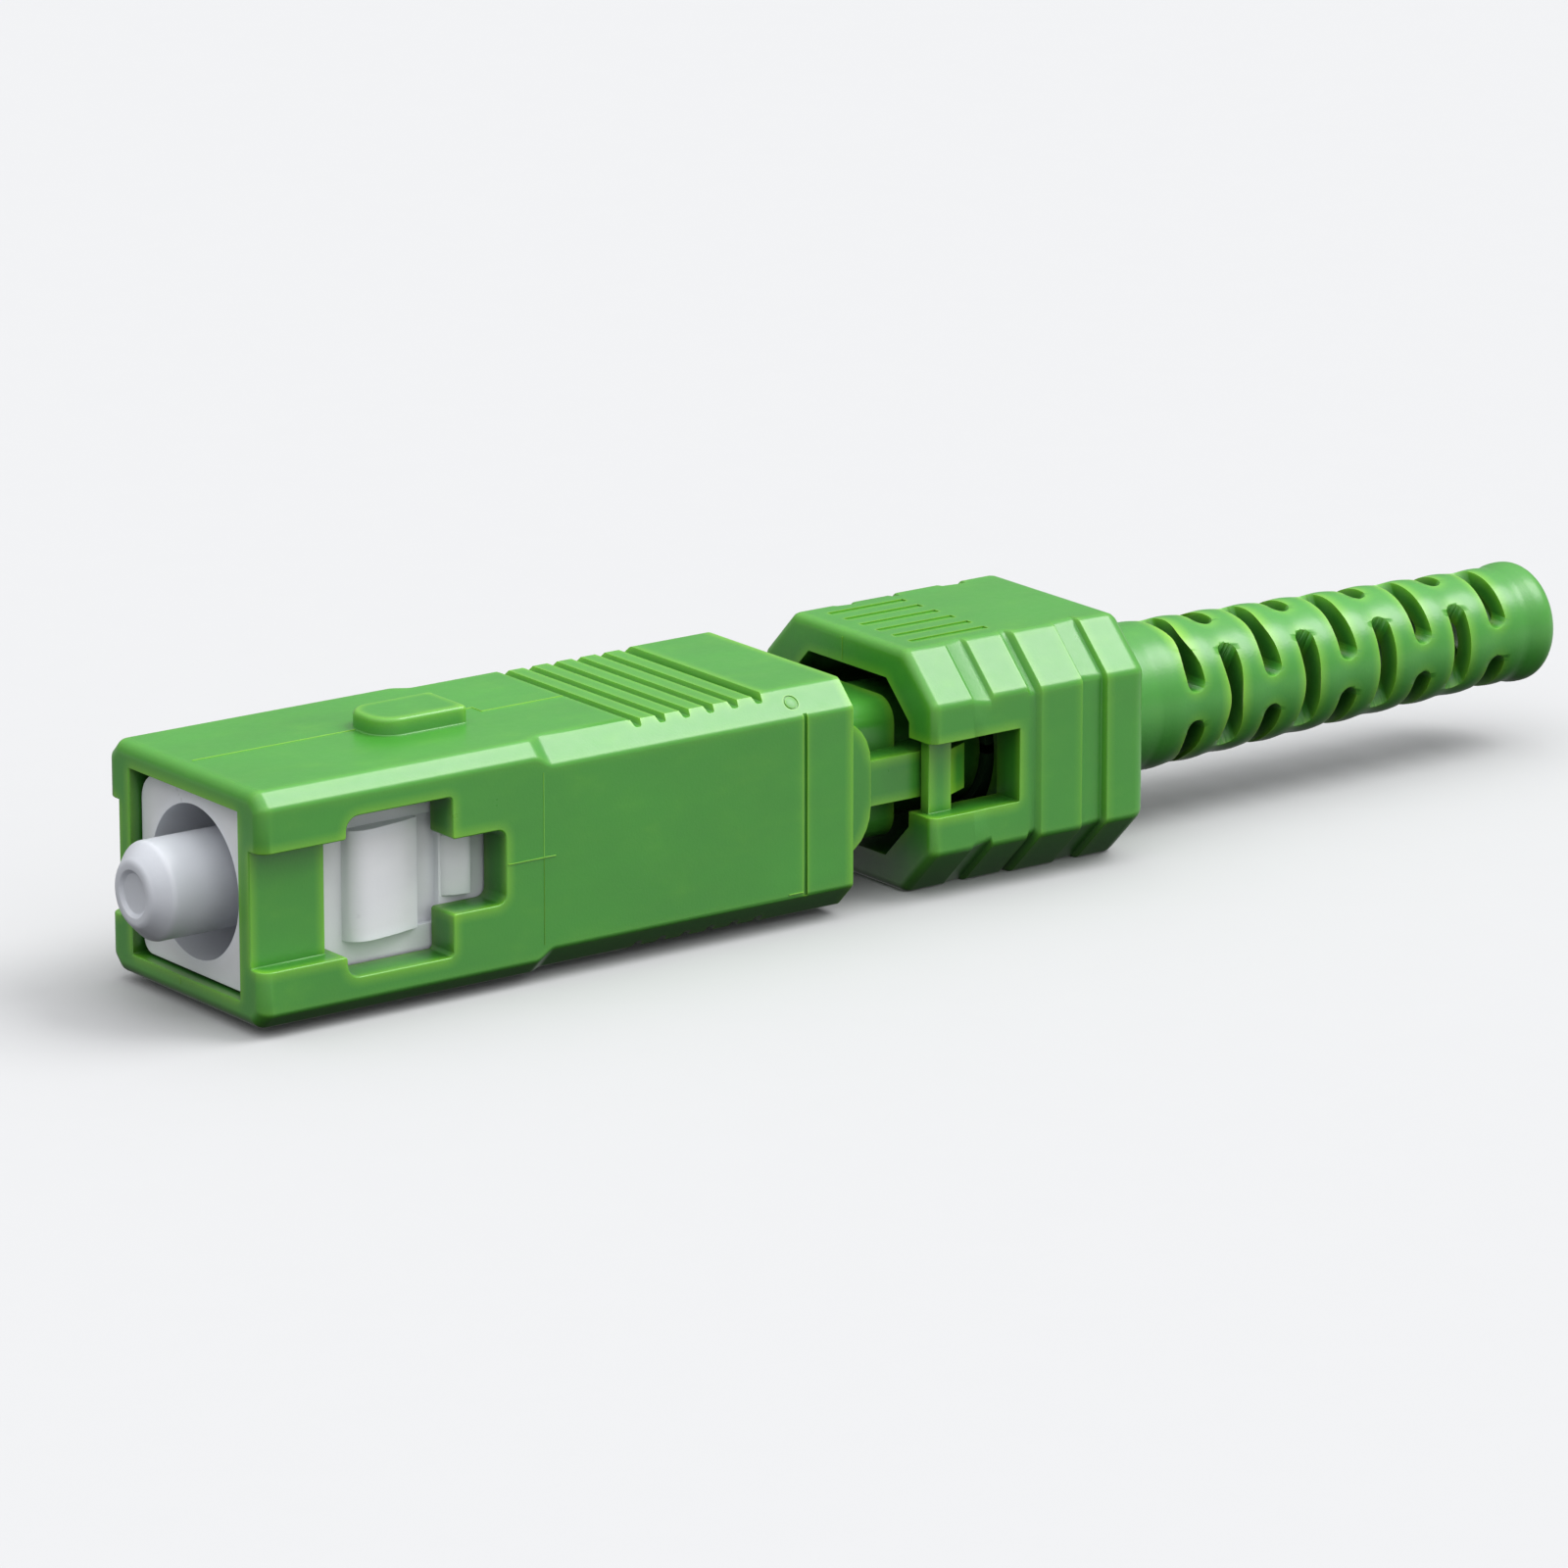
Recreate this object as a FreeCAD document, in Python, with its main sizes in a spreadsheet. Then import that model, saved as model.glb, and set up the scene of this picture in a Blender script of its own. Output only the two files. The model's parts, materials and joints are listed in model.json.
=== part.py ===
import FreeCAD, Part
import math
import os
import types

import Sketcher

# SC/APC field-assembly fibre connector, in millimetres.
# +X runs from the mating face towards the boot, +Z is the key side, Y is across the grip.
# The origin is on the ferrule's axis, in the plane of the grip's front face.

SIZES = {
    # Push-pull grip, the outer shell that slides on the plug frame.
    "grip_width": 8.5,
    "grip_height": 7.4,
    "grip_length": 22.1,
    "grip_front_chamfer": 0.42,
    "grip_rear_chamfer": 0.8,
    "grip_ramp_start": 10.0,
    "grip_ramp_length": 0.7,
    "grip_throat_length": 9.6,
    "grip_cavity_chamfer": 0.6,
    "grip_nose_round": 0.5,
    "grip_lip_chamfer": 0.15,
    "grip_back_travel": 1.0,
    "grip_forward_travel": 0.5,
    # Side channel, front bar and T-shaped latch window in each side of the grip.
    "channel_height": 3.66,
    "channel_depth": 0.64,
    "bar_length": 2.7,
    "window_start": 3.1,
    "window_end": 6.95,
    "window_height": 5.04,
    "window_tail_end": 8.9,
    "window_tail_height": 2.36,
    "window_round": 0.4,
    # Polarising key on the top of the grip.
    "key_start": 6.25,
    "key_length": 3.6,
    "key_width": 2.1,
    "key_height": 0.55,
    "key_round": 1.0,
    "key_top_chamfer": 0.12,
    # Finger ribs across the top and the bottom of the grip.
    "rib_field_start": 13.9,
    "rib_groove_count": 6,
    "rib_pitch": 0.92,
    "rib_groove_width": 0.5,
    "rib_groove_floor": 0.24,
    "rib_groove_depth": 0.18,
    "rib_field_drop": 0.1,
    "side_line_inset": 1.8,
    "side_line_width": 0.14,
    "side_line_depth": 0.08,
    # Plug frame, the white inner housing.
    "frame_setback": 0.4,
    "frame_width": 5.84,
    "frame_height": 5.74,
    "frame_length": 13.0,
    "frame_top_round": 0.9,
    "frame_bottom_round": 0.45,
    "frame_bore": 4.84,
    "frame_web_place": 6.2,
    "frame_web_thickness": 0.8,
    "frame_web_bore": 2.8,
    "frame_chamber_bore": 4.7,
    "latch_rise": 0.53,
    "latch_round": 0.45,
    "latch_fall": 0.3,
    "latch_recess_length": 0.9,
    "latch_recess_depth": 0.25,
    "latch_tail_height": 1.9,
    "latch_tail_rise": 0.33,
    "snap_window_place": 11.4,
    "snap_window_length": 1.2,
    "snap_window_width": 2.0,
    # Dust cap over the ferrule.
    "cap_diameter": 3.12,
    "cap_overhang": 1.84,
    "cap_length": 6.0,
    "cap_tip_chamfer": 0.55,
    "cap_end_wall": 0.55,
    "cap_dimple_diameter": 1.5,
    "cap_dimple_depth": 0.12,
    "cap_travel": 8.0,
    # Ferrule and fibre.
    "ferrule_diameter": 2.5,
    "ferrule_length": 10.5,
    "ferrule_tip_diameter": 1.4,
    "ferrule_tip_length": 0.5,
    "ferrule_end_angle": 8.0,
    "ferrule_bore": 0.15,
    "ferrule_travel": 1.0,
    "fibre_diameter": 0.125,
    "fibre_length": 16.2,
    # Metal flange pressed on the ferrule.
    "flange_diameter": 4.4,
    "flange_length": 1.6,
    "flange_notch_width": 0.9,
    "flange_notch_depth": 0.45,
    "frame_key_width": 0.7,
    # Holder of the splice, behind the flange.
    "holder_diameter": 3.2,
    "holder_length": 12.0,
    "holder_bay_bore": 2.7,
    "holder_web_bore": 0.6,
    "holder_web_thickness": 0.9,
    "splice_diameter": 2.1,
    "splice_length": 9.1,
    "splice_inset": 0.1,
    "clamp_wall": 0.22,
    "clamp_length": 8.4,
    "clamp_inset": 0.3,
    "clamp_slot": 1.0,
    "funnel_length": 1.0,
    "funnel_bore": 0.3,
    "funnel_mouth": 1.2,
    "wedge_length": 3.4,
    "wedge_start": 7.6,
    "wedge_width": 2.0,
    "wedge_height": 0.6,
    "wedge_foot_width": 0.8,
    "wedge_foot_inset": 0.2,
    # Compression spring and its seat.
    "spring_wire": 0.36,
    "spring_mean_diameter": 3.74,
    "spring_length": 6.0,
    "spring_turns": 6.0,
    "spring_seat_thickness": 0.3,
    # Rear body: spigot, main block, neck, tongues and tail.
    "spigot_length": 2.4,
    "snap_height": 0.4,
    "body_width": 6.8,
    "body_height": 5.7,
    "body_round": 0.9,
    "body_overhang": 0.35,
    "neck_width": 5.0,
    "neck_height": 4.6,
    "neck_round": 0.8,
    "tongue_width": 6.8,
    "tongue_thickness": 1.5,
    "tongue_round": 0.35,
    "barb_length": 0.85,
    "barb_width": 7.6,
    "tail_diameter": 4.4,
    "guide_reach": 1.4,
    "guide_diameter": 2.0,
    "guide_bore": 1.0,
    "tail_bore": 2.6,
    # Locking sleeve, the block behind the grip.
    "sleeve_gap": 2.9,
    "sleeve_length": 8.6,
    "sleeve_width": 9.0,
    "sleeve_height": 7.94,
    "sleeve_step": 0.12,
    "sleeve_step_place": 3.9,
    "sleeve_chamfer": 1.55,
    "sleeve_hood_wall": 1.07,
    "sleeve_side_wall": 1.25,
    "sleeve_cavity_chamfer": 1.2,
    "sleeve_cavity_depth": 3.7,
    "sleeve_slot_height": 2.4,
    "sleeve_slot_depth": 3.5,
    "sleeve_bar_place": 0.3,
    "sleeve_bar_length": 0.9,
    "sleeve_bar_wall": 0.42,
    "sleeve_bore": 5.7,
    "sleeve_end_wall": 1.2,
    "sleeve_edge_round": 0.6,
    "sleeve_groove_place": 1.65,
    "sleeve_groove_width": 0.8,
    "sleeve_groove_depth": 0.14,
    "sleeve_trough_width": 0.3,
    "sleeve_strip_place": 5.95,
    "sleeve_strip_width": 0.95,
    "sleeve_strip_depth": 0.2,
    "sleeve_rib_count": 6,
    "sleeve_rib_pitch": 0.85,
    "sleeve_rib_width": 0.3,
    "sleeve_rib_depth": 0.08,
    "sleeve_rib_start": 0.9,
    "sleeve_rib_length": 3.0,
    # Cable jaws and the ring round them.
    "jaw_length": 2.4,
    "jaw_diameter": 4.8,
    "jaw_bore": 2.0,
    "jaw_gap": 0.3,
    "jaw_tooth_depth": 0.14,
    "jaw_tooth_count": 2,
    "jaw_ring_length": 1.2,
    "jaw_ring_wall": 0.25,
    # Strain-relief boot.
    "boot_base_diameter": 5.0,
    "boot_tip_diameter": 3.84,
    "boot_length": 19.7,
    "boot_flange_diameter": 5.6,
    "boot_flange_length": 1.05,
    "boot_bead_length": 1.4,
    "boot_bead_rise": 0.1,
    "boot_end_chamfer": 0.45,
    "boot_bore": 2.6,
    "boot_end_bore": 2.2,
    "boot_end_length": 2.2,
    "boot_slot_width": 0.75,
    "boot_slot_web": 0.92,
    "boot_slot_start": 3.87,
    "boot_row_pitch": 3.3,
    "boot_row_count": 5,
    # Clearances.
    "slide_clearance": 0.08,
    "stop_clearance": 0.05,
    "seat_clearance": 0.02,
    "fit_clearance": 0.03,
    "float_clearance": 0.1,
}

doc = FreeCAD.newDocument("sc_fibre_connector")
sheet = doc.addObject("Spreadsheet::Sheet", "Sizes")
for row, (alias, value) in enumerate(SIZES.items(), start=1):
    sheet.set("A%d" % row, alias)
    sheet.set("B%d" % row, str(value))
    sheet.setAlias("B%d" % row, alias)
doc.recompute()


class Size:
    """A length with its number and the sheet formula that it comes from."""

    def __init__(self, number, formula):
        self.number = number
        self.formula = formula

    def combine(self, other, sign, flipped=False):
        pair = (as_size(other), self) if flipped else (self, as_size(other))
        a, b = pair
        results = {"+": lambda: a.number + b.number, "-": lambda: a.number - b.number,
                   "*": lambda: a.number * b.number, "/": lambda: a.number / b.number}
        return Size(results[sign](), "(%s %s %s)" % (a.formula, sign, b.formula))

    def __add__(self, other):
        return self.combine(other, "+")

    def __radd__(self, other):
        return self.combine(other, "+", True)

    def __sub__(self, other):
        return self.combine(other, "-")

    def __rsub__(self, other):
        return self.combine(other, "-", True)

    def __mul__(self, other):
        return self.combine(other, "*")

    def __rmul__(self, other):
        return self.combine(other, "*", True)

    def __truediv__(self, other):
        return self.combine(other, "/")

    def __neg__(self):
        return self.combine(0, "-", True)


def as_size(value):
    return value if isinstance(value, Size) else Size(float(value), repr(float(value)))


S = types.SimpleNamespace(**{alias: Size(value, "Sizes." + alias) for alias, value in SIZES.items()})

# ---------------------------------------------------------------- places along the axis
ZERO = as_size(0)
FRAME_REAR = S.frame_setback + S.frame_length
LATCH_FRONT = S.bar_length + S.grip_back_travel + S.stop_clearance
LATCH_REAR = S.window_end - S.grip_forward_travel - S.stop_clearance
LATCH_HEIGHT = S.channel_height - 2 * S.slide_clearance
FLANGE_FRONT = S.frame_web_place + S.frame_web_thickness
FLANGE_REAR = FLANGE_FRONT + S.flange_length
FERRULE_TIP = S.cap_end_wall - S.cap_overhang + S.stop_clearance
FERRULE_REAR = FERRULE_TIP + S.ferrule_length
HOLDER_REAR = FLANGE_REAR + S.holder_length
BAY_FRONT = FERRULE_REAR + S.holder_web_thickness
SPLICE_FRONT = BAY_FRONT + S.splice_inset
SPLICE_REAR = SPLICE_FRONT + S.splice_length
WEDGE_FRONT = FLANGE_REAR + S.wedge_start
WEDGE_REAR = WEDGE_FRONT + S.wedge_length
SPRING_REAR = FLANGE_REAR + S.spring_length
SEAT_REAR = SPRING_REAR + S.spring_seat_thickness
SPIGOT_FRONT = FRAME_REAR - S.spigot_length
BODY_REAR = S.grip_length + S.body_overhang
SLEEVE_FRONT = S.grip_length + S.sleeve_gap
SLEEVE_REAR = SLEEVE_FRONT + S.sleeve_length
SLEEVE_BAR_FRONT = SLEEVE_FRONT + S.sleeve_bar_place
SLEEVE_BAR_REAR = SLEEVE_BAR_FRONT + S.sleeve_bar_length
SLEEVE_CAVITY_REAR = SLEEVE_FRONT + S.sleeve_cavity_depth
SLEEVE_SEAT = SLEEVE_REAR - S.sleeve_end_wall
TONGUE_REAR = SLEEVE_BAR_REAR + S.stop_clearance + S.barb_length
TAIL_REAR = SLEEVE_CAVITY_REAR - S.stop_clearance
GUIDE_FRONT = HOLDER_REAR + S.ferrule_travel + 4 * S.float_clearance
GUIDE_REAR = SLEEVE_FRONT + S.guide_reach
JAW_FRONT = SLEEVE_CAVITY_REAR + S.stop_clearance
JAW_REAR = JAW_FRONT + S.jaw_length
BOOT_FRONT = SLEEVE_SEAT - S.boot_flange_length
BOOT_REAR = SLEEVE_REAR + S.boot_length


# ---------------------------------------------------------------- modelling helpers
def new_body(name):
    body = doc.addObject("PartDesign::Body", name)
    body.Label = name
    return body


def new_sketch(body, plane, offset=ZERO):
    """A sketch on an origin plane, moved along the plane's normal by offset."""
    sketch = body.newObject("Sketcher::SketchObject", body.Label + "_sketch")
    origin = [f for f in body.Origin.OriginFeatures if f.Role == plane][0]
    sketch.AttachmentSupport = [(origin, "")]
    sketch.MapMode = "FlatFace"
    sketch.AttachmentOffset = FreeCAD.Placement(FreeCAD.Vector(0, 0, offset.number), FreeCAD.Rotation())
    sketch.setExpression("AttachmentOffset.Base.z", offset.formula)
    return sketch


def bind(sketch, constraint, size):
    index = sketch.addConstraint(constraint)
    sketch.setExpression("Constraints[%d]" % index, size.formula)


def pin_point(sketch, geometry, point, x, y):
    """Place one point of a sketch by its two distances from the sketch's origin."""
    x, y = as_size(x), as_size(y)
    bind(sketch, Sketcher.Constraint("DistanceX", -1, 1, geometry, point, x.number), x)
    bind(sketch, Sketcher.Constraint("DistanceY", -1, 1, geometry, point, y.number), y)


def draw_outline(sketch, points):
    """A closed outline of straight lines through points, each bound to the sheet."""
    points = [(as_size(x), as_size(y)) for x, y in points]
    first = sketch.GeometryCount
    count = len(points)
    for i, (x, y) in enumerate(points):
        nx, ny = points[(i + 1) % count]
        start = FreeCAD.Vector(x.number, y.number, 0)
        end = FreeCAD.Vector(nx.number, ny.number, 0)
        sketch.addGeometry(Part.LineSegment(start, end), False)
    for i in range(count):
        sketch.addConstraint(Sketcher.Constraint("Coincident", first + i, 2, first + (i + 1) % count, 1))
    for i, (x, y) in enumerate(points):
        pin_point(sketch, first + i, 1, x, y)


def draw_circle(sketch, diameter):
    """A circle round the sketch's origin."""
    diameter = as_size(diameter)
    centre = FreeCAD.Vector(0, 0, 0)
    index = sketch.addGeometry(Part.Circle(centre, FreeCAD.Vector(0, 0, 1), diameter.number / 2), False)
    sketch.addConstraint(Sketcher.Constraint("Coincident", index, 3, -1, 1))
    bind(sketch, Sketcher.Constraint("Diameter", index, diameter.number), diameter)


def rectangle(x0, x1, y0, y1):
    return [(x0, y0), (x1, y0), (x1, y1), (x0, y1)]


def octagon(width, height, chamfer):
    """A rectangle round the axis with its four corners cut at 45 degrees."""
    w, h = width / 2, height / 2
    return [(-w, -h + chamfer), (-w + chamfer, -h), (w - chamfer, -h), (w, -h + chamfer),
            (w, h - chamfer), (w - chamfer, h), (-w + chamfer, h), (-w, h - chamfer)]


def centred(width, height):
    return rectangle(-width / 2, width / 2, -height / 2, height / 2)


def extrude(body, kind, plane, start, stop, outlines):
    """Pad or Pocket outlines from start to stop along the plane's normal."""
    sketch = new_sketch(body, plane, as_size(start))
    for outline in outlines:
        if isinstance(outline, Size):
            draw_circle(sketch, outline)
        else:
            draw_outline(sketch, outline)
    before = body.Shape.Volume if body.Tip else 0.0
    feature = body.newObject("PartDesign::" + kind, body.Label + "_" + kind.lower())
    feature.Profile = sketch
    length = as_size(stop) - as_size(start)
    feature.Length = length.number
    feature.setExpression("Length", length.formula)
    feature.Reversed = kind == "Pocket"
    body.Tip = feature
    doc.recompute()
    changed = body.Shape.Volume - before
    if (changed <= 0) == (kind == "Pad"):
        raise RuntimeError("%s of %s changed nothing" % (kind, body.Label))
    return feature


def add(body, plane, start, stop, *outlines):
    return extrude(body, "Pad", plane, start, stop, outlines)


def cut(body, plane, start, stop, *outlines):
    return extrude(body, "Pocket", plane, start, stop, outlines)


def turn(body, kind, points):
    """Revolution or Groove of an outline in X and radius, round the X axis."""
    sketch = new_sketch(body, "XZ_Plane")
    draw_outline(sketch, points)
    before = body.Shape.Volume if body.Tip else 0.0
    feature = body.newObject("PartDesign::" + kind, body.Label + "_" + kind.lower())
    feature.Profile = sketch
    feature.ReferenceAxis = (sketch, ["H_Axis"])
    feature.Angle = 360
    body.Tip = feature
    doc.recompute()
    changed = body.Shape.Volume - before
    if (changed <= 0) == (kind == "Revolution"):
        raise RuntimeError("%s of %s changed nothing" % (kind, body.Label))
    return feature


def pattern(body, feature, count, pitch, axis):
    """Copies of a feature in a row along one of the body's own axes."""
    row = body.newObject("PartDesign::LinearPattern", body.Label + "_pattern")
    row.Originals = [feature]
    direction = [f for f in body.Origin.OriginFeatures if f.Role == axis][0]
    row.Direction = (direction, [""])
    row.Length = ((count - 1) * pitch).number
    row.setExpression("Length", ((count - 1) * pitch).formula)
    row.Occurrences = int(count.number)
    row.setExpression("Occurrences", count.formula)
    body.Tip = row
    doc.recompute()
    return row


def soften(body, kind, size, choose):
    """Fillet or Chamfer the edges of the body's tip that choose() accepts."""
    base = body.Tip
    names = ["Edge%d" % (i + 1) for i, edge in enumerate(base.Shape.Edges) if choose(edge)]
    if not names:
        raise RuntimeError("no edge to soften on " + body.Label)
    feature = body.newObject("PartDesign::" + kind, body.Label + "_" + kind.lower())
    feature.Base = (base, names)
    field = "Radius" if kind == "Fillet" else "Size"
    setattr(feature, field, size.number)
    feature.setExpression(field, size.formula)
    body.Tip = feature
    doc.recompute()
    return feature


def near(a, b, slack=1e-4):
    return abs(a - as_size(b).number) < slack


def ends(edge):
    return [v.Point for v in edge.Vertexes]


def runs_along(edge, axis):
    """True for a straight edge along the axis, 0 for X, 1 for Y, 2 for Z."""
    points = ends(edge)
    if len(points) != 2 or edge.Curve.TypeId != "Part::GeomLine":
        return False
    step = points[1] - points[0]
    return abs(step[axis]) > 1e-6 and all(abs(step[i]) < 1e-6 for i in range(3) if i != axis)


def at(edge, **places):
    """True if both ends of an edge lie at the given |y| or |z|, or at the given x."""
    for key, value in places.items():
        for point in ends(edge):
            place = point.x if key == "x" else abs(point.y) if key == "y" else abs(point.z)
            if not near(place, value):
                return False
    return True


# ---------------------------------------------------------------- the pieces
def make_outer_grip():
    """Push-pull shell: chamfered box that swells into a rear block, with key, ribs and windows."""
    body = new_body("outer_grip")
    ramp_end = S.grip_ramp_start + S.grip_ramp_length
    add(body, "YZ_Plane", 0, S.grip_ramp_start, octagon(S.grip_width, S.grip_height, S.grip_front_chamfer))
    ramp = body.newObject("PartDesign::AdditiveLoft", "outer_grip_ramp")
    front = new_sketch(body, "YZ_Plane", S.grip_ramp_start)
    draw_outline(front, octagon(S.grip_width, S.grip_height, S.grip_front_chamfer))
    rear = new_sketch(body, "YZ_Plane", ramp_end)
    draw_outline(rear, octagon(S.grip_width, S.grip_height, S.grip_rear_chamfer))
    ramp.Profile = front
    ramp.Sections = [rear]
    ramp.Ruled = True
    body.Tip = ramp
    doc.recompute()
    add(body, "YZ_Plane", ramp_end, S.grip_length, octagon(S.grip_width, S.grip_height, S.grip_rear_chamfer))

    half_width, half_height = S.grip_width / 2, S.grip_height / 2
    soften(body, "Fillet", S.grip_nose_round,
           lambda e: runs_along(e, 2) and at(e, x=0, y=half_width))
    soften(body, "Chamfer", S.grip_lip_chamfer,
           lambda e: runs_along(e, 1)
           and (at(e, x=0, z=half_height) or at(e, x=S.grip_length, z=half_height)))

    key_end = S.key_start + S.key_length
    add(body, "XY_Plane", half_height - S.key_height, half_height + S.key_height,
        rectangle(S.key_start, key_end, -S.key_width / 2, S.key_width / 2))
    soften(body, "Fillet", S.key_round,
           lambda e: runs_along(e, 2) and at(e, x=S.key_start, y=S.key_width / 2)
           and max(p.z for p in ends(e)) > half_height.number)
    key_top = half_height + S.key_height
    soften(body, "Chamfer", S.key_top_chamfer, lambda e: at(e, z=key_top) and min(p.z for p in ends(e)) > 0)

    # Finger ribs: a shallow field on top and bottom with slanted grooves across it.
    field_end = S.rib_field_start + (S.rib_groove_count - 1) * S.rib_pitch + S.rib_groove_width
    slant = (S.rib_groove_width - S.rib_groove_floor) / 2
    for side in (1, -1):
        surface = side * half_height
        floor = surface - side * (S.rib_groove_depth + S.rib_field_drop)
        cut(body, "XZ_Plane", -half_width, half_width,
            rectangle(S.rib_field_start, field_end, surface - side * S.rib_field_drop, surface + side))
        groove = cut(body, "XZ_Plane", -half_width, half_width,
                     [(S.rib_field_start, surface), (S.rib_field_start + slant, floor),
                      (S.rib_field_start + slant + S.rib_groove_floor, floor),
                      (S.rib_field_start + S.rib_groove_width, surface)])
        pattern(body, groove, S.rib_groove_count, S.rib_pitch, "X_Axis")

    # Cavity: a close throat round the plug frame and a wider room for the rear body.
    room_width = S.body_width + 2 * S.float_clearance
    room_height = S.body_height + 2 * S.float_clearance
    throat_width = S.frame_width + 2 * S.slide_clearance
    throat_height = S.frame_height + 2 * S.slide_clearance
    cut(body, "YZ_Plane", 0, S.grip_length, centred(throat_width, throat_height))
    cut(body, "YZ_Plane", S.grip_throat_length, S.grip_length,
        octagon(room_width, room_height, S.grip_cavity_chamfer))

    # Both sides: recessed channel in front of the window, then the T-shaped window itself.
    window = [(S.bar_length, -S.channel_height / 2), (S.window_start, -S.channel_height / 2),
              (S.window_start, -S.window_height / 2), (S.window_end, -S.window_height / 2),
              (S.window_end, -S.window_tail_height / 2), (S.window_tail_end, -S.window_tail_height / 2),
              (S.window_tail_end, S.window_tail_height / 2), (S.window_end, S.window_tail_height / 2),
              (S.window_end, S.window_height / 2), (S.window_start, S.window_height / 2),
              (S.window_start, S.channel_height / 2), (S.bar_length, S.channel_height / 2)]
    for side in (1, -1):
        outside, recess = side * half_width, side * (half_width - S.channel_depth)
        low, high = (outside, recess) if side < 0 else (recess, outside)
        cut(body, "XZ_Plane", -high, -low,
            rectangle(0, S.bar_length, -S.channel_height / 2, S.channel_height / 2))
    cut(body, "XZ_Plane", -half_width, half_width, window)
    soften(body, "Fillet", S.window_round,
           lambda e: runs_along(e, 1) and at(e, x=S.window_start, z=S.window_height / 2))

    # Witness line round the rear of both sides.
    reach = half_height - S.grip_rear_chamfer
    line = S.grip_length - S.side_line_inset
    for side in (1, -1):
        low, high = (-half_width, S.side_line_depth - half_width)
        if side > 0:
            low, high = (half_width - S.side_line_depth, half_width)
        cut(body, "XZ_Plane", -high, -low,
            rectangle(line, line + S.side_line_width, -reach, reach))


def make_plug_frame():
    """White inner housing with the latch shoulders that the adapter's hooks grip."""
    body = new_body("plug_frame")
    half_width, half_height = S.frame_width / 2, S.frame_height / 2
    add(body, "YZ_Plane", S.frame_setback, FRAME_REAR, centred(S.frame_width, S.frame_height))
    soften(body, "Fillet", S.frame_top_round,
           lambda e: runs_along(e, 0) and at(e, z=half_height) and ends(e)[0].z > 0)
    soften(body, "Fillet", S.frame_bottom_round,
           lambda e: runs_along(e, 0) and at(e, z=half_height) and ends(e)[0].z < 0)
    latch_side = half_width + S.latch_rise
    # Latch shoulders that fall towards the rear, the waist behind them and the tails in the windows.
    bulge = [(LATCH_FRONT, half_width), (LATCH_FRONT + S.latch_round / 3, latch_side - S.latch_round / 3),
             (LATCH_FRONT + S.latch_round, latch_side), (LATCH_FRONT + 2 * S.latch_round, latch_side),
             (LATCH_REAR, latch_side - S.latch_fall)]
    add(body, "XY_Plane", -LATCH_HEIGHT / 2, LATCH_HEIGHT / 2,
        bulge + [(x, -y) for x, y in reversed(bulge)])
    tail_front = LATCH_REAR + S.latch_recess_length
    tail_rear = S.window_tail_end - S.grip_forward_travel - S.stop_clearance
    for side in (1, -1):
        waist = side * (half_width - S.latch_recess_depth)
        cut(body, "XY_Plane", -LATCH_HEIGHT / 2, LATCH_HEIGHT / 2,
            rectangle(LATCH_REAR, tail_front, waist, side * half_width))
        add(body, "XY_Plane", -S.latch_tail_height / 2, S.latch_tail_height / 2,
            [(tail_front, waist), (tail_rear, waist), (tail_rear, side * (half_width + S.latch_tail_rise)),
             (tail_front, side * half_width)])
    # Bore in front, web with the ferrule's passage, and the chamber behind it.
    web_rear = S.frame_web_place + S.frame_web_thickness
    cut(body, "YZ_Plane", S.frame_setback, S.frame_web_place, S.frame_bore)
    cut(body, "YZ_Plane", S.frame_web_place, web_rear, S.frame_web_bore)
    cut(body, "YZ_Plane", web_rear, FRAME_REAR, S.frame_chamber_bore)
    # Key that stops the flange turning, and the snap windows over the spigot's barbs.
    depth = S.flange_notch_depth - S.float_clearance
    add(body, "YZ_Plane", web_rear, web_rear + S.flange_length - S.float_clearance,
        rectangle(-S.frame_key_width / 2, S.frame_key_width / 2,
                  S.frame_chamber_bore / 2 - depth, S.frame_height / 2 - S.slide_clearance))
    snap_rear = S.snap_window_place + S.snap_window_length
    cut(body, "XY_Plane", -half_height, half_height,
        rectangle(S.snap_window_place, snap_rear, -S.snap_window_width / 2, S.snap_window_width / 2))


def make_dust_cap():
    """Closed tube pushed over the ferrule, with a chamfered, dimpled tip."""
    body = new_body("dust_cap")
    tip, rear = -S.cap_overhang, S.cap_length - S.cap_overhang
    outer, inner = S.cap_diameter / 2, S.ferrule_diameter / 2 + S.seat_clearance
    dimple = S.cap_dimple_diameter / 2
    turn(body, "Revolution",
         [(tip + S.cap_dimple_depth, 0), (tip + S.cap_dimple_depth, dimple - S.cap_dimple_depth),
          (tip, dimple), (tip, outer - S.cap_tip_chamfer), (tip + S.cap_tip_chamfer, outer),
          (rear, outer), (rear, inner), (tip + S.cap_end_wall, inner), (tip + S.cap_end_wall, 0)])


def make_ferrule():
    """Ceramic ferrule with a coned tip, polished at the angle of an APC end."""
    body = new_body("ferrule")
    outer, tip = S.ferrule_diameter / 2, S.ferrule_tip_diameter / 2
    turn(body, "Revolution",
         [(FERRULE_TIP, 0), (FERRULE_TIP, tip), (FERRULE_TIP + S.ferrule_tip_length, outer),
          (FERRULE_REAR, outer), (FERRULE_REAR, 0)])
    slope = math.tan(math.radians(SIZES["ferrule_end_angle"]))
    cut(body, "XZ_Plane", -S.ferrule_diameter, S.ferrule_diameter,
        [(FERRULE_TIP - tip * slope, -tip - tip), (FERRULE_TIP - tip, -tip - tip),
         (FERRULE_TIP - tip, tip), (FERRULE_TIP + tip * slope * 2, tip)])
    cut(body, "YZ_Plane", FERRULE_TIP - outer, FERRULE_REAR, S.ferrule_bore)


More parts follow.
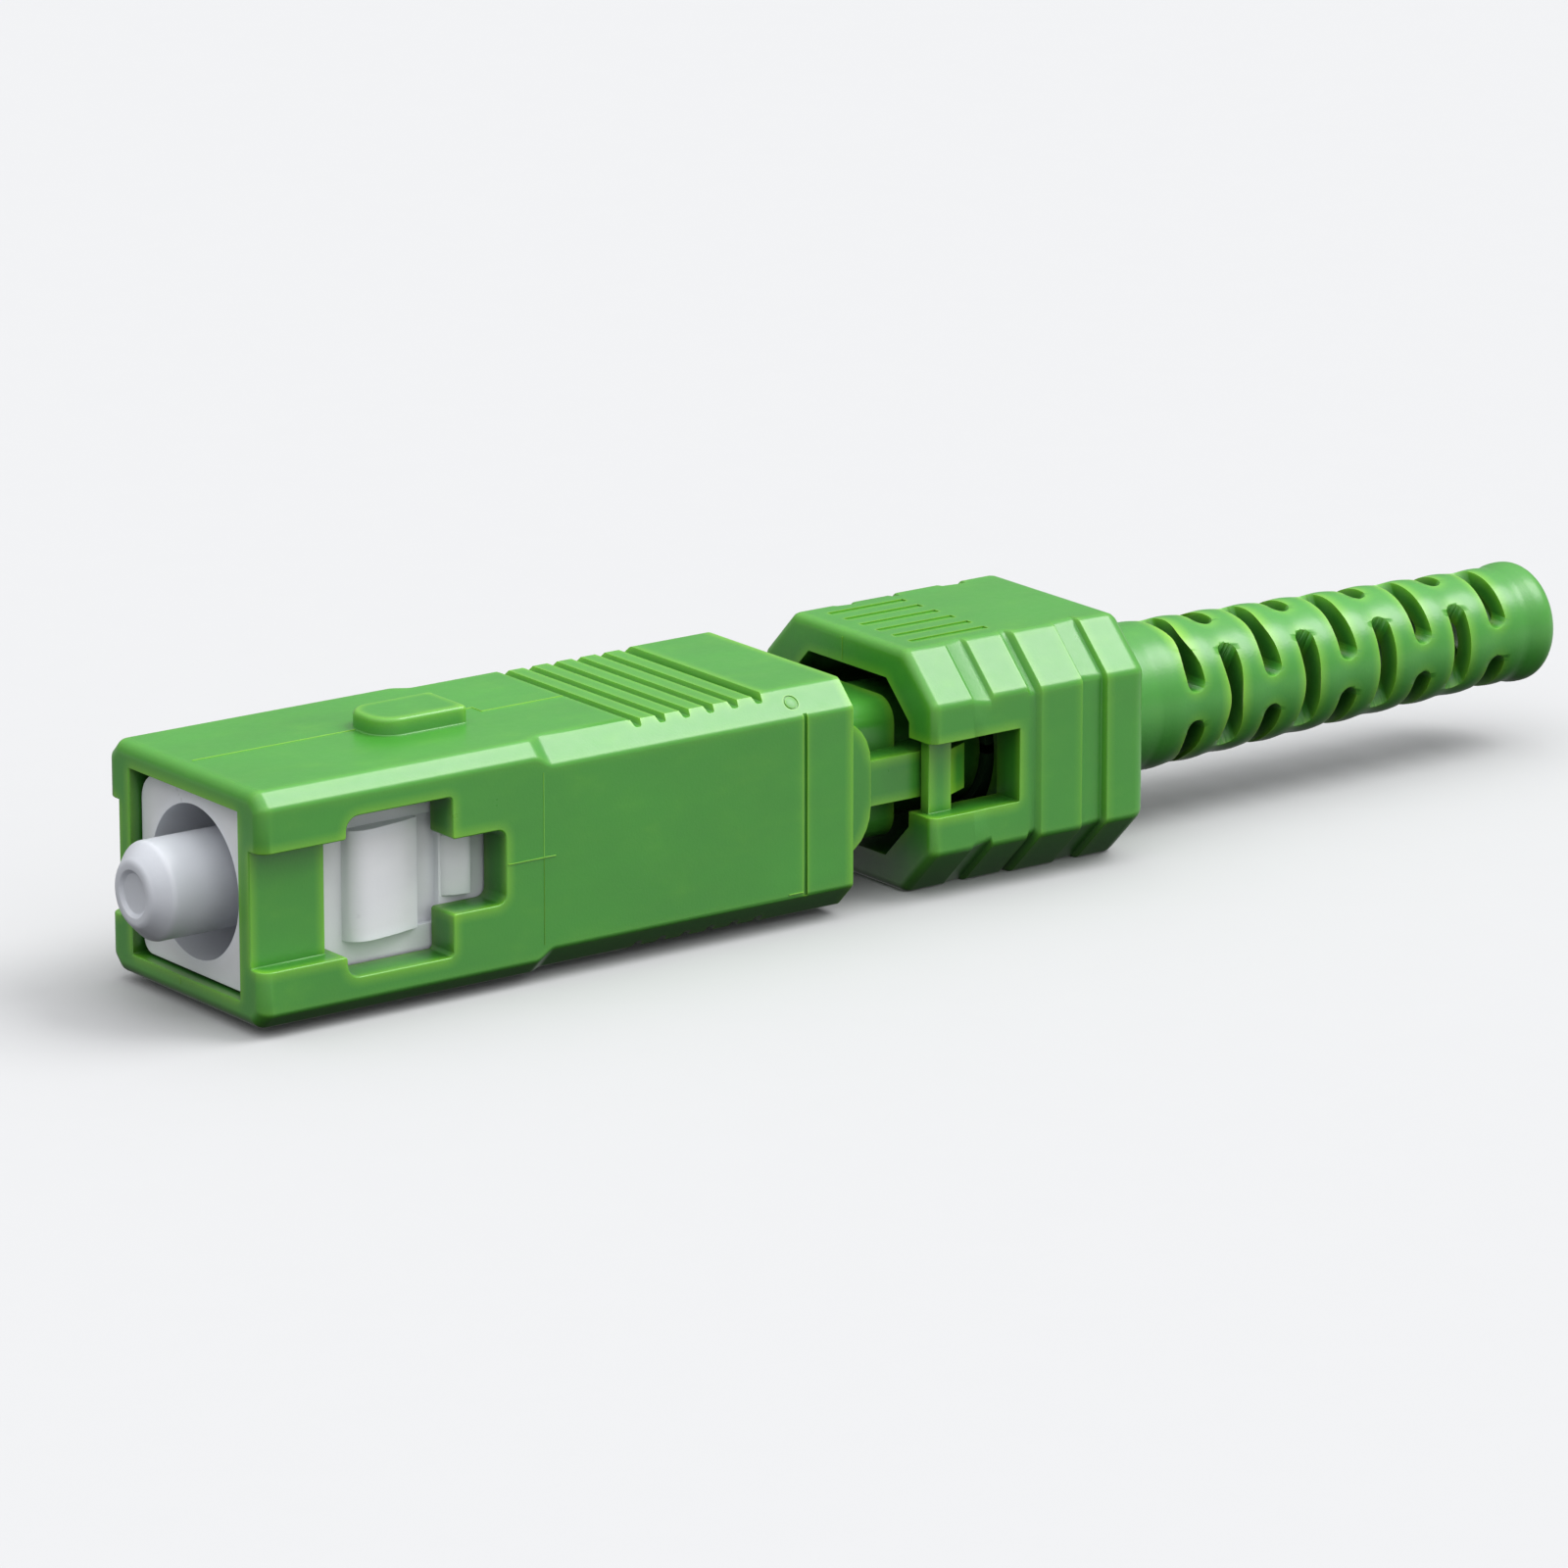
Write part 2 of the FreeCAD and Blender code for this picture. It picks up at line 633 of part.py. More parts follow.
def make_fibre_stub():
    """Factory-bonded fibre from the polished end into the middle of the splice."""
    body = new_body("fibre_stub")
    add(body, "YZ_Plane", FERRULE_TIP, FERRULE_TIP + S.fibre_length, S.fibre_diameter)


def make_ferrule_flange():
    """Metal collar pressed on the ferrule, with the notch that the frame's key fits."""
    body = new_body("ferrule_flange")
    add(body, "YZ_Plane", FLANGE_FRONT, FLANGE_REAR, S.flange_diameter, S.ferrule_diameter)
    radius, half_notch = S.flange_diameter / 2, S.flange_notch_width / 2
    cut(body, "YZ_Plane", FLANGE_FRONT, FLANGE_REAR,
        rectangle(-half_notch, half_notch, radius - S.flange_notch_depth, radius * 2))


def make_splice_holder():
    """Tube behind the flange that carries the splice, with a window on top for the wedge's foot."""
    body = new_body("splice_holder")
    outer = S.holder_diameter / 2
    turn(body, "Revolution",
         [(FLANGE_REAR, S.ferrule_diameter / 2), (FERRULE_REAR, S.ferrule_diameter / 2),
          (FERRULE_REAR, S.holder_web_bore / 2), (BAY_FRONT, S.holder_web_bore / 2),
          (BAY_FRONT, S.holder_bay_bore / 2), (HOLDER_REAR, S.holder_bay_bore / 2),
          (HOLDER_REAR, outer), (FLANGE_REAR, outer)])
    foot = S.wedge_foot_width / 2 + S.slide_clearance
    cut(body, "XY_Plane", 0, S.holder_diameter,
        rectangle(WEDGE_FRONT, WEDGE_REAR, -foot, foot))


def make_splice_half(name, side):
    """Half of the mechanical splice; the lower half carries the V-groove for the fibres."""
    body = new_body(name)
    add(body, "YZ_Plane", SPLICE_FRONT, SPLICE_REAR, S.splice_diameter)
    radius = S.splice_diameter / 2
    split = (S.fibre_diameter / 2 + S.fit_clearance / 2) if side > 0 else S.fit_clearance / 2
    low, high = (-radius, split) if side > 0 else (-split, radius)
    cut(body, "XY_Plane", low, high, rectangle(SPLICE_FRONT, SPLICE_REAR, -radius, radius))
    if side < 0:
        depth = S.fibre_diameter + S.fit_clearance
        cut(body, "YZ_Plane", SPLICE_FRONT, SPLICE_REAR, [(-depth, 0), (0, -depth), (depth, 0)])


def make_splice_clamp():
    """C-shaped spring sleeve that squeezes the two halves; its slot takes the wedge's foot."""
    body = new_body("splice_clamp")
    inner = S.splice_diameter + 2 * S.seat_clearance
    start, half_slot = SPLICE_FRONT + S.clamp_inset, S.clamp_slot / 2
    stop = start + S.clamp_length
    add(body, "YZ_Plane", start, stop, inner + 2 * S.clamp_wall, inner)
    cut(body, "XY_Plane", 0, inner, rectangle(start, stop, -half_slot, half_slot))


def make_splice_wedge():
    """Cam pressed into the holder to shut the splice: a saddle with a foot."""
    body = new_body("splice_wedge")
    seat = S.holder_diameter / 2 + S.fit_clearance
    lid_top = S.splice_diameter / 2 + S.fit_clearance
    add(body, "XY_Plane", seat, seat + S.wedge_height,
        rectangle(WEDGE_FRONT, WEDGE_REAR, -S.wedge_width / 2, S.wedge_width / 2))
    soften(body, "Chamfer", S.wedge_height / 3,
           lambda e: runs_along(e, 1) and at(e, z=seat + S.wedge_height))
    foot = S.wedge_foot_width / 2
    add(body, "XY_Plane", lid_top, seat,
        rectangle(WEDGE_FRONT + S.wedge_foot_inset, WEDGE_REAR - S.wedge_foot_inset, -foot, foot))


def make_fibre_funnel():
    """Plug in the holder's rear end whose cone leads the field fibre into the V-groove."""
    body = new_body("fibre_funnel")
    front = HOLDER_REAR - S.funnel_length
    outer = S.holder_bay_bore / 2 - S.seat_clearance
    turn(body, "Revolution",
         [(front, S.funnel_bore / 2), (HOLDER_REAR, S.funnel_mouth / 2),
          (HOLDER_REAR, outer), (front, outer)])


def make_main_spring():
    """Compression spring that pushes the ferrule forwards: a wire coil with closed ends."""
    wire = SIZES["spring_wire"] / 2
    radius = SIZES["spring_mean_diameter"] / 2
    run = SIZES["spring_length"] - 2 * wire
    turns = SIZES["spring_turns"]
    front = FLANGE_REAR.number + wire
    steps = 10
    path = []
    radius *= 2 / (1 + math.cos(math.pi / steps))
    for i in range(int(turns * steps) + 1):
        angle = 2 * math.pi * i / steps
        path.append(FreeCAD.Vector(front + run * i / (turns * steps),
                                   radius * math.cos(angle), radius * math.sin(angle)))
    # The wire's section is a hexagon, square to the first chord of the coil.
    along = (path[1] - path[0]).normalize()
    across = along.cross(FreeCAD.Vector(0, 1, 0)).normalize()
    outward = across.cross(along)
    section = []
    for i in range(7):
        angle = 2 * math.pi * i / 6
        section.append(path[0] + outward * (wire * math.cos(angle)) + across * (wire * math.sin(angle)))
    coil = Part.makePolygon(path).makePipeShell([Part.makePolygon(section)], True, False, 1)
    spring = doc.addObject("Part::Feature", "main_spring")
    spring.Label = "main_spring"
    spring.Shape = coil
    return spring


def make_spring_seat():
    """Thin steel washer between the spring and the rear body's shoulder."""
    body = new_body("spring_seat")
    outer = S.frame_chamber_bore - 4 * S.float_clearance - S.spring_wire / 2
    add(body, "YZ_Plane", SPRING_REAR, SEAT_REAR, outer, S.holder_diameter + 2 * S.float_clearance)


def make_rear_body():
    """Green body behind the frame: spigot, main block, waist, side tongues with barbs, and tail."""
    body = new_body("rear_body")
    spigot = S.frame_chamber_bore - 2 * S.seat_clearance
    add(body, "YZ_Plane", FRAME_REAR, BODY_REAR, centred(S.body_width, S.body_height))
    soften(body, "Fillet", S.body_round, lambda e: runs_along(e, 0))
    add(body, "YZ_Plane", SPIGOT_FRONT, FRAME_REAR, spigot)
    snap_rear = S.snap_window_place + S.snap_window_length
    snap_half = S.snap_window_width / 2 - S.slide_clearance
    snap_top = S.frame_height / 2 - S.slide_clearance
    for side in (1, -1):
        add(body, "XZ_Plane", -snap_half, snap_half,
            [(S.snap_window_place + S.slide_clearance, side * spigot / 3),
             (snap_rear - S.slide_clearance, side * spigot / 3),
             (snap_rear - S.slide_clearance, side * snap_top),
             (S.snap_window_place + S.slide_clearance, side * (snap_top - S.snap_height))])
    add(body, "YZ_Plane", BODY_REAR, SLEEVE_FRONT, centred(S.neck_width, S.neck_height))
    soften(body, "Fillet", S.neck_round,
           lambda e: runs_along(e, 0) and at(e, y=S.neck_width / 2, z=S.neck_height / 2)
           and near(e.BoundBox.XMin, BODY_REAR))
    add(body, "YZ_Plane", SLEEVE_FRONT, TAIL_REAR, S.tail_diameter)
    half = S.tongue_thickness / 2
    barb_front = TONGUE_REAR - S.barb_length
    for side in (1, -1):
        add(body, "XY_Plane", -half, half,
            [(BODY_REAR, 0), (TONGUE_REAR, 0), (TONGUE_REAR, side * S.tongue_width / 2),
             (barb_front, side * S.barb_width / 2), (barb_front, side * S.tongue_width / 2),
             (BODY_REAR, side * S.tongue_width / 2)])
    # Passages: spring chamber, holder bore with the wedge's channel, guide seat, cable bore.
    holder_bore = S.holder_diameter + 2 * S.float_clearance
    chamber = S.frame_chamber_bore - 4 * S.float_clearance
    cut(body, "YZ_Plane", SPIGOT_FRONT, SEAT_REAR, chamber)
    cut(body, "YZ_Plane", SEAT_REAR, GUIDE_FRONT, holder_bore)
    cut(body, "YZ_Plane", GUIDE_FRONT, GUIDE_REAR, S.guide_diameter)
    cut(body, "YZ_Plane", GUIDE_REAR, TAIL_REAR, S.tail_bore)
    channel_half = S.wedge_width / 2 + S.float_clearance
    channel_top = S.holder_diameter / 2 + S.fit_clearance + S.wedge_height + S.float_clearance
    cut(body, "XY_Plane", 0, channel_top,
        rectangle(WEDGE_FRONT - S.float_clearance, WEDGE_REAR + S.ferrule_travel + S.float_clearance,
                  -channel_half, channel_half))


def make_guide_tube():
    """Thin tube in the neck that leads the fibre's buffer to the splice."""
    body = new_body("guide_tube")
    add(body, "YZ_Plane", GUIDE_FRONT, GUIDE_REAR, S.guide_diameter - 2 * S.seat_clearance, S.guide_bore)


def make_locking_sleeve():
    """Block behind the grip: hooded front with side slots and bars, stepped and grooved rear."""
    body = new_body("locking_sleeve")
    wide = S.sleeve_width + 2 * S.sleeve_step
    step = SLEEVE_FRONT + S.sleeve_step_place
    add(body, "YZ_Plane", SLEEVE_FRONT, step, octagon(S.sleeve_width, S.sleeve_height, S.sleeve_chamfer))
    add(body, "YZ_Plane", step, SLEEVE_REAR, octagon(wide, S.sleeve_height, S.sleeve_chamfer))
    soften(body, "Fillet", S.sleeve_edge_round, lambda e: at(e, x=SLEEVE_REAR))
    soften(body, "Fillet", S.sleeve_edge_round / 3, lambda e: at(e, x=SLEEVE_FRONT))
    # Grooves and strip down the sides and the slopes, and the ribs along the top and the bottom.
    groove_front, strip_front = SLEEVE_FRONT + S.sleeve_groove_place, SLEEVE_FRONT + S.sleeve_strip_place
    for start, length, across, depth in (
            (groove_front, S.sleeve_groove_width, S.sleeve_width, S.sleeve_groove_depth),
            (step, S.sleeve_trough_width, S.sleeve_width, S.sleeve_groove_depth),
            (strip_front, S.sleeve_strip_width, wide, S.sleeve_strip_depth)):
        cut(body, "YZ_Plane", start, start + length, centred(2 * wide, 2 * S.sleeve_height),
            octagon(across - 2 * depth, S.sleeve_height + 2 * depth,
                    S.sleeve_chamfer + math.sqrt(2) * depth))
    rib_front = SLEEVE_FRONT + S.sleeve_rib_start
    first = -(S.sleeve_rib_count - 1) * S.sleeve_rib_pitch / 2 - S.sleeve_rib_width / 2
    for side in (1, -1):
        surface = side * S.sleeve_height / 2
        low, high = surface, surface + S.sleeve_rib_depth
        if side > 0:
            low, high = surface - S.sleeve_rib_depth, surface
        groove = cut(body, "XY_Plane", low, high,
                     rectangle(rib_front, rib_front + S.sleeve_rib_length,
                               first, first + S.sleeve_rib_width))
        pattern(body, groove, S.sleeve_rib_count, S.sleeve_rib_pitch, "Y_Axis")
    # Hood cavity, the bores for jaws and boot, the side slots and the bars across them.
    cavity_width = S.sleeve_width - 2 * S.sleeve_side_wall
    cavity_height = S.sleeve_height - 2 * S.sleeve_hood_wall
    cut(body, "YZ_Plane", SLEEVE_FRONT, SLEEVE_CAVITY_REAR,
        octagon(cavity_width, cavity_height, S.sleeve_cavity_chamfer))
    cut(body, "YZ_Plane", SLEEVE_CAVITY_REAR, SLEEVE_SEAT, S.sleeve_bore)
    cut(body, "YZ_Plane", SLEEVE_SEAT, SLEEVE_REAR, S.boot_base_diameter + 2 * S.fit_clearance)
    cut(body, "XZ_Plane", -S.sleeve_width, S.sleeve_width,
        rectangle(SLEEVE_FRONT, SLEEVE_FRONT + S.sleeve_slot_depth,
                  -S.sleeve_slot_height / 2, S.sleeve_slot_height / 2))
    inner = S.tongue_width / 2 + S.slide_clearance
    bar_reach = S.sleeve_slot_height / 2 + S.sleeve_side_wall / 4
    for side in (1, -1):
        add(body, "XY_Plane", -bar_reach, bar_reach,
            rectangle(SLEEVE_BAR_FRONT, SLEEVE_BAR_REAR, side * inner, side * (inner + S.sleeve_bar_wall)))


def make_cable_jaw(name, side):
    """Half ring with inner teeth that bites the cable's jacket."""
    body = new_body(name)
    inner = S.jaw_bore / 2
    teeth = [(JAW_FRONT, inner)]
    pitch = S.jaw_length / S.jaw_tooth_count
    for i in range(int(S.jaw_tooth_count.number)):
        teeth += [(JAW_FRONT + (i + 0.5) * pitch, inner - S.jaw_tooth_depth),
                  (JAW_FRONT + (i + 1) * pitch, inner)]
    turn(body, "Revolution", teeth + [(JAW_REAR, S.jaw_diameter / 2), (JAW_FRONT, S.jaw_diameter / 2)])
    low, high = (-S.jaw_diameter, S.jaw_gap / 2) if side > 0 else (-S.jaw_gap / 2, S.jaw_diameter)
    cut(body, "XY_Plane", low, high, rectangle(JAW_FRONT, JAW_REAR, -S.jaw_diameter, S.jaw_diameter))


def make_jaw_ring():
    """Metal ring round the two jaws, inside the sleeve's bore."""
    body = new_body("jaw_ring")
    inner = S.jaw_diameter + 2 * S.seat_clearance
    middle = (JAW_FRONT + JAW_REAR) / 2
    add(body, "YZ_Plane", middle - S.jaw_ring_length / 2, middle + S.jaw_ring_length / 2,
        inner + 2 * S.jaw_ring_wall, inner)


def boot_slot(angle):
    """Wedge between two webs of the boot, its middle at the given angle from the +Y direction."""
    web, reach = S.boot_slot_web / 2, S.boot_base_diameter
    corners = [(web / math.cos(math.radians(30)), 0)]
    for side in (-1, 1):
        a = math.radians(60 * side)
        out, off = (math.cos(a), math.sin(a)), (math.sin(a), -math.cos(a))
        corners.append((reach * out[0] + web * side * off[0], reach * out[1] + web * side * off[1]))
    corners.insert(2, (reach * 2, 0))
    c, t = math.cos(math.radians(angle)), math.sin(math.radians(angle))
    return [(x * c - y * t, x * t + y * c) for x, y in [(as_size(x), as_size(y)) for x, y in corners]]


def make_boot():
    """Tapered strain relief with rows of three slots that take turns along it."""
    body = new_body("boot")
    base, tip = S.boot_base_diameter / 2, S.boot_tip_diameter / 2
    bore, end_bore = S.boot_bore / 2, S.boot_end_bore / 2
    collar = BOOT_REAR - S.boot_end_length
    bead, bead_side = BOOT_REAR - S.boot_bead_length, tip + S.boot_bead_rise
    flange_rear = SLEEVE_SEAT - S.seat_clearance
    turn(body, "Revolution",
         [(BOOT_FRONT, bore), (BOOT_FRONT, S.boot_flange_diameter / 2),
          (flange_rear, S.boot_flange_diameter / 2), (flange_rear, base), (SLEEVE_REAR, base),
          (bead, tip), (bead + S.boot_bead_rise, bead_side),
          (BOOT_REAR - S.boot_end_chamfer, bead_side), (BOOT_REAR, bead_side - S.boot_end_chamfer),
          (BOOT_REAR, end_bore), (collar, end_bore), (collar, bore)])
    # Each row is three slots round the boot; every second row is turned by half a step.
    half_slot, half_pitch = S.boot_slot_width / 2, S.boot_row_pitch / 2
    first, count = SLEEVE_REAR + S.boot_slot_start, S.boot_row_count
    for start, number, turned in ((first, count, 0), (first + half_pitch, count - 1, 60)):
        row = cut(body, "YZ_Plane", start - half_slot, start + half_slot,
                  *[boot_slot(turned + 120 * i) for i in range(3)])
        pattern(body, row, number, S.boot_row_pitch, "X_Axis")


make_outer_grip()
make_plug_frame()
make_dust_cap()
make_ferrule()
make_fibre_stub()
make_ferrule_flange()
make_splice_holder()
make_splice_half("splice_base", -1)
make_splice_half("splice_lid", 1)
make_splice_clamp()
make_splice_wedge()
make_fibre_funnel()
make_main_spring()
make_spring_seat()
make_rear_body()
make_guide_tube()
make_locking_sleeve()
make_cable_jaw("cable_jaw_upper", 1)
make_cable_jaw("cable_jaw_lower", -1)
make_jaw_ring()
make_boot()

doc.recompute()
for thing in doc.Objects:
    if "Invalid" in thing.State or "Error" in thing.State:
        raise RuntimeError("%s failed: %s" % (thing.Label, thing.State))
pieces = [o for o in doc.Objects if o.TypeId in ("PartDesign::Body", "Part::Feature")]
for piece in pieces:
    if piece.Shape.isNull() or not piece.Shape.isValid():
        raise RuntimeError("%s has no sound shape" % piece.Label)
os.makedirs("parts", exist_ok=True)
for piece in pieces:
    piece.Shape.exportStep("parts/%s.step" % piece.Label)
    print("%-18s %d solid %9.3f mm3" % (piece.Label, len(piece.Shape.Solids), piece.Shape.Volume))
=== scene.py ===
import json
import math
import types

import bpy
from bpy.props import FloatProperty, FloatVectorProperty, IntProperty, PointerProperty
from mathutils import Matrix, Vector


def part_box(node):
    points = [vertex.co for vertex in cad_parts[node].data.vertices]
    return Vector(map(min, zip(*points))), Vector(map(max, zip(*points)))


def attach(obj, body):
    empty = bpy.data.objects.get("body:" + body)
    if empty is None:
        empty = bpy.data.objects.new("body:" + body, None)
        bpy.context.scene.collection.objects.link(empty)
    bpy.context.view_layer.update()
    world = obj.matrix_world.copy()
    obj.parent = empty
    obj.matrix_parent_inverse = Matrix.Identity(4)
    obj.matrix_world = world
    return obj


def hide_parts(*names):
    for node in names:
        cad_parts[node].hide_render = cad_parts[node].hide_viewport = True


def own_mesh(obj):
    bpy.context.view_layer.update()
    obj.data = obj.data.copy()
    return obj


bl_info = {
    "name": "Push-pull fibre connector",
    "version": (1, 0, 0),
    "blender": (4, 5, 0),
    "location": "3D View > Sidebar > Connector",
    "description": "Detailed shells, finishes and a small studio for a fibre connector",
    "category": "Add Mesh",
}

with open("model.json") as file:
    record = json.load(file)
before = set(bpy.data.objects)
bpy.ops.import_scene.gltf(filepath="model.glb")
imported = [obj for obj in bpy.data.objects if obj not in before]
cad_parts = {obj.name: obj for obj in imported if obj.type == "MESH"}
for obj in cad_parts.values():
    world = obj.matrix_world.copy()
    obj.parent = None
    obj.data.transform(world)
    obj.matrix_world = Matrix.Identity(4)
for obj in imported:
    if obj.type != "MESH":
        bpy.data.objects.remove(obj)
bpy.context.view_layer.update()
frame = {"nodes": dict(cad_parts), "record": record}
bpy.ops.object.select_all(action="DESELECT")

MM = 0.001
MERGE = 1e-6  # vertices closer than this many metres are one


def span(node, axis):
    """Lowest and highest place of a CAD node along one axis, in millimetres."""
    low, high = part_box(node)
    return low[axis] / MM, high[axis] / MM


# ---------------------------------------------------------------- sizes and colours
def length(name, description, millimetres):
    """A length that the sidebar shows, with its default in millimetres."""
    return FloatProperty(name=name, description=description, default=millimetres * MM,
                         min=0.0, unit="LENGTH", precision=5)


def colour(name, description, value):
    """A colour that the sidebar shows."""
    return FloatVectorProperty(name=name, description=description, default=value,
                               size=3, min=0.0, max=1.0, subtype="COLOR")


GRIP_FRONT, GRIP_REAR = span("outer_grip", 0)
GRIP_HALF_WIDTH = span("outer_grip", 1)[1]
GRIP_HALF_HEIGHT = -span("outer_grip", 2)[0]
KEY_TOP = span("outer_grip", 2)[1]
FRAME_FRONT, FRAME_REAR = span("plug_frame", 0)
LATCH_SIDE = span("plug_frame", 1)[1]
FRAME_HALF_HEIGHT = span("plug_frame", 2)[1]
CAP_FRONT, CAP_REAR = span("dust_cap", 0)
CAP_RADIUS = span("dust_cap", 1)[1]
BODY_FRONT, TAIL_REAR = span("rear_body", 0)
BARB_SIDE = span("rear_body", 1)[1]
BODY_HALF_HEIGHT = span("rear_body", 2)[1]
SLEEVE_FRONT, SLEEVE_REAR = span("locking_sleeve", 0)
SLEEVE_HALF_WIDTH = span("locking_sleeve", 1)[1]
SLEEVE_HALF_HEIGHT = span("locking_sleeve", 2)[1]
BOOT_FRONT, BOOT_REAR = span("boot", 0)
BOOT_FLANGE_RADIUS = span("boot", 1)[1]

# How far green and white plastic pass red, green and blue light.
GREEN_PASS, WHITE_PASS = (0.55, 1.0, 0.25), (1.0, 1.0, 1.0)

# Light of the studio: a sky that is brighter overhead and on the near side, and one large softbox.
SKY_BELOW, SKY_RIM, SKY_TOP, SKY_NEAR = 0.06, 0.52, 1.7, 0.45
# What glossy sides mirror below the horizon: its brightness there, and how fast that falls further down.
MIRROR_RIM, MIRROR_FALL = 0.95, 1.35
SOFTBOX_FROM, SOFTBOX_WIDTH, SOFTBOX_POWER = (0.58, -0.27, 0.77), 34, 1.7

# Where the camera stands, in metres, which way it looks, and its focal length.
CAMERA_PLACE, CAMERA_AIM, FOCAL_LENGTH = (-0.13891, -0.21863, 0.07588), (0.5718, 0.7744, -0.2710), 204.84


class GripSizes(bpy.types.PropertyGroup):
    front_chamfer: length("Front chamfer", "Chamfer along the front part of the grip", 0.48)
    rear_chamfer: length("Rear chamfer", "Chamfer along the rear part of the grip", 0.8)
    ramp_start: length("Ramp start", "Where the chamfer starts to grow", 10.0)
    ramp_length: length("Ramp length", "Length over which the chamfer grows", 0.7)
    key_width: length("Key width", "Width of the polarising key", 2.1)
    nose_round: length("Nose round", "Radius round the front end", 0.42)
    rib_depth: length("Rib depth", "Depth of the grooves between the finger ribs", 0.28)
    edge_round: length("Edge round", "Radius of the moulded edges", 0.15)
    long_round: length("Long round", "Radius of the eight edges that run along the grip", 0.26)


class FrameSizes(bpy.types.PropertyGroup):
    width: length("Width", "Width of the inner housing without its latches", 5.84)
    top_round: length("Top round", "Radius of the two top corners", 0.9)
    bottom_round: length("Bottom round", "Radius of the two bottom corners", 0.45)
    bore: length("Bore", "Diameter of the front bore", 4.84)
    edge_round: length("Edge round", "Radius of the moulded edges", 0.07)


class CapSizes(bpy.types.PropertyGroup):
    tip_chamfer: length("Tip chamfer", "Chamfer round the tip", 0.55)
    tip_round: length("Tip round", "Radius between the chamfer and its neighbours", 0.28)
    dimple: length("Dimple", "Diameter of the dimple in the tip", 1.5)


class BodySizes(bpy.types.PropertyGroup):
    width: length("Width", "Width of the block inside the grip", 6.8)
    corner_round: length("Corner round", "Radius of the block's long corners", 0.9)
    neck_width: length("Neck width", "Width of the waist behind the grip", 5.0)
    neck_height: length("Neck height", "Height of the waist behind the grip", 4.6)
    tongue_thickness: length("Tongue thickness", "Height of each side tongue", 1.5)
    edge_round: length("Edge round", "Radius of the moulded edges", 0.1)


class SleeveSizes(bpy.types.PropertyGroup):
    chamfer: length("Chamfer", "Chamfer along the four long corners", 1.55)
    step: length("Step", "How much larger the rear half is on each side", 0.12)
    slot_height: length("Slot height", "Height of the slot in each side", 2.4)
    edge_round: length("Edge round", "Radius of the moulded edges", 0.12)
    long_round: length("Long round", "Radius of the eight edges that run along the sleeve", 0.35)


class SpringSizes(bpy.types.PropertyGroup):
    wire: length("Wire", "Diameter of the wire", 0.34)
    mean_diameter: length("Mean diameter", "Diameter of the coil, to the middle of the wire", 3.64)
    turns: IntProperty(name="Turns", description="Turns, with the closed one at each end", default=6)


class BootSizes(bpy.types.PropertyGroup):
    base_diameter: length("Base diameter", "Diameter where the boot leaves the sleeve", 5.0)
    tip_diameter: length("Tip diameter", "Diameter in front of the end bead", 3.84)
    slot_width: length("Slot width", "Width of the slots along the boot", 0.75)
    bead_length: length("Bead length", "Length of the bead at the free end", 1.4)
    bead_rise: length("Bead rise", "How far the bead stands proud", 0.1)
    end_round: length("End round", "Radius of the free end", 0.6)
    crown: length("Crown", "How far each ring bulges", 0.06)
    rows: IntProperty(name="Rows", description="Rows of slots along the boot", default=9, min=1, max=20)


class Finishes(bpy.types.PropertyGroup):
    green: colour("Green", "Moulded shells", (0.050, 0.285, 0.026))
    # The green edge colour is the painted glow of sharp edges and thin walls, standing in for light let
    # through; it also tints the scuffs.
    green_edge: colour("Green edge", "Thin green edges that let light through", (0.24, 0.56, 0.030))
    boot_green: colour("Boot green", "Flexible boot", (0.050, 0.290, 0.030))
    white: colour("White", "Inner housing", (0.84, 0.865, 0.92))
    cap_white: colour("Cap white", "Milky dust cap", (0.64, 0.66, 0.71))
    floor: colour("Floor", "Floor and backdrop", (0.510, 0.510, 0.514))


# ---------------------------------------------------------------- modelling tools, in millimetres
def in_mm(group):
    """The lengths of a property group in millimetres, and its counts as they are."""
    values = {}
    for key, prop in group.bl_rna.properties.items():
        if prop.type == "FLOAT" and prop.unit == "LENGTH":
            values[key] = getattr(group, key) / MM
        elif prop.type == "INT":
            values[key] = getattr(group, key)
    return types.SimpleNamespace(**values)


def put_down():
    """Leave edit mode, with nothing selected."""
    if bpy.context.object and bpy.context.object.mode == "EDIT":
        bpy.ops.object.mode_set(mode="OBJECT")
    bpy.ops.object.select_all(action="DESELECT")


def only(piece):
    """Make one object the active one and the only one selected."""
    put_down()
    piece.select_set(True)
    bpy.context.view_layer.objects.active = piece


def twin(piece):
    """A copy of a piece, with its own mesh and alone selected."""
    only(piece)
    bpy.ops.object.duplicate(linked=False)
    return bpy.context.object


def start_vertex(name, point):
    """A new object in edit mode that holds one vertex."""
    put_down()
    bpy.ops.mesh.primitive_plane_add(size=MM)
    piece = bpy.context.object
    piece.name = piece.data.name = name
    bpy.ops.object.mode_set(mode="EDIT")
    bpy.ops.mesh.merge(type="CENTER")
    bpy.ops.transform.translate(value=Vector(point) * MM)
    return piece


def draw(points):
    """Draw on from the selected vertex through the other points."""
    for here, there in zip(points, points[1:]):
        step = (Vector(there) - Vector(here)) * MM
        bpy.ops.mesh.extrude_region_move(TRANSFORM_OT_translate={"value": step})


def outline(name, points, filled=True):
    """A closed outline through the points, as a face or as a bare loop of edges."""
    piece = start_vertex(name, points[0])
    draw(points)
    bpy.ops.mesh.select_all(action="SELECT")
    bpy.ops.mesh.edge_face_add()
    if not filled:
        bpy.ops.mesh.delete(type="ONLY_FACE")
    return piece


def tidy_mesh():
    """Merge doubles and turn all the faces outwards, in edit mode."""
    bpy.ops.mesh.select_all(action="SELECT")
    bpy.ops.mesh.remove_doubles(threshold=MERGE)
    bpy.ops.mesh.normals_make_consistent(inside=False)
    bpy.ops.mesh.select_all(action="DESELECT")


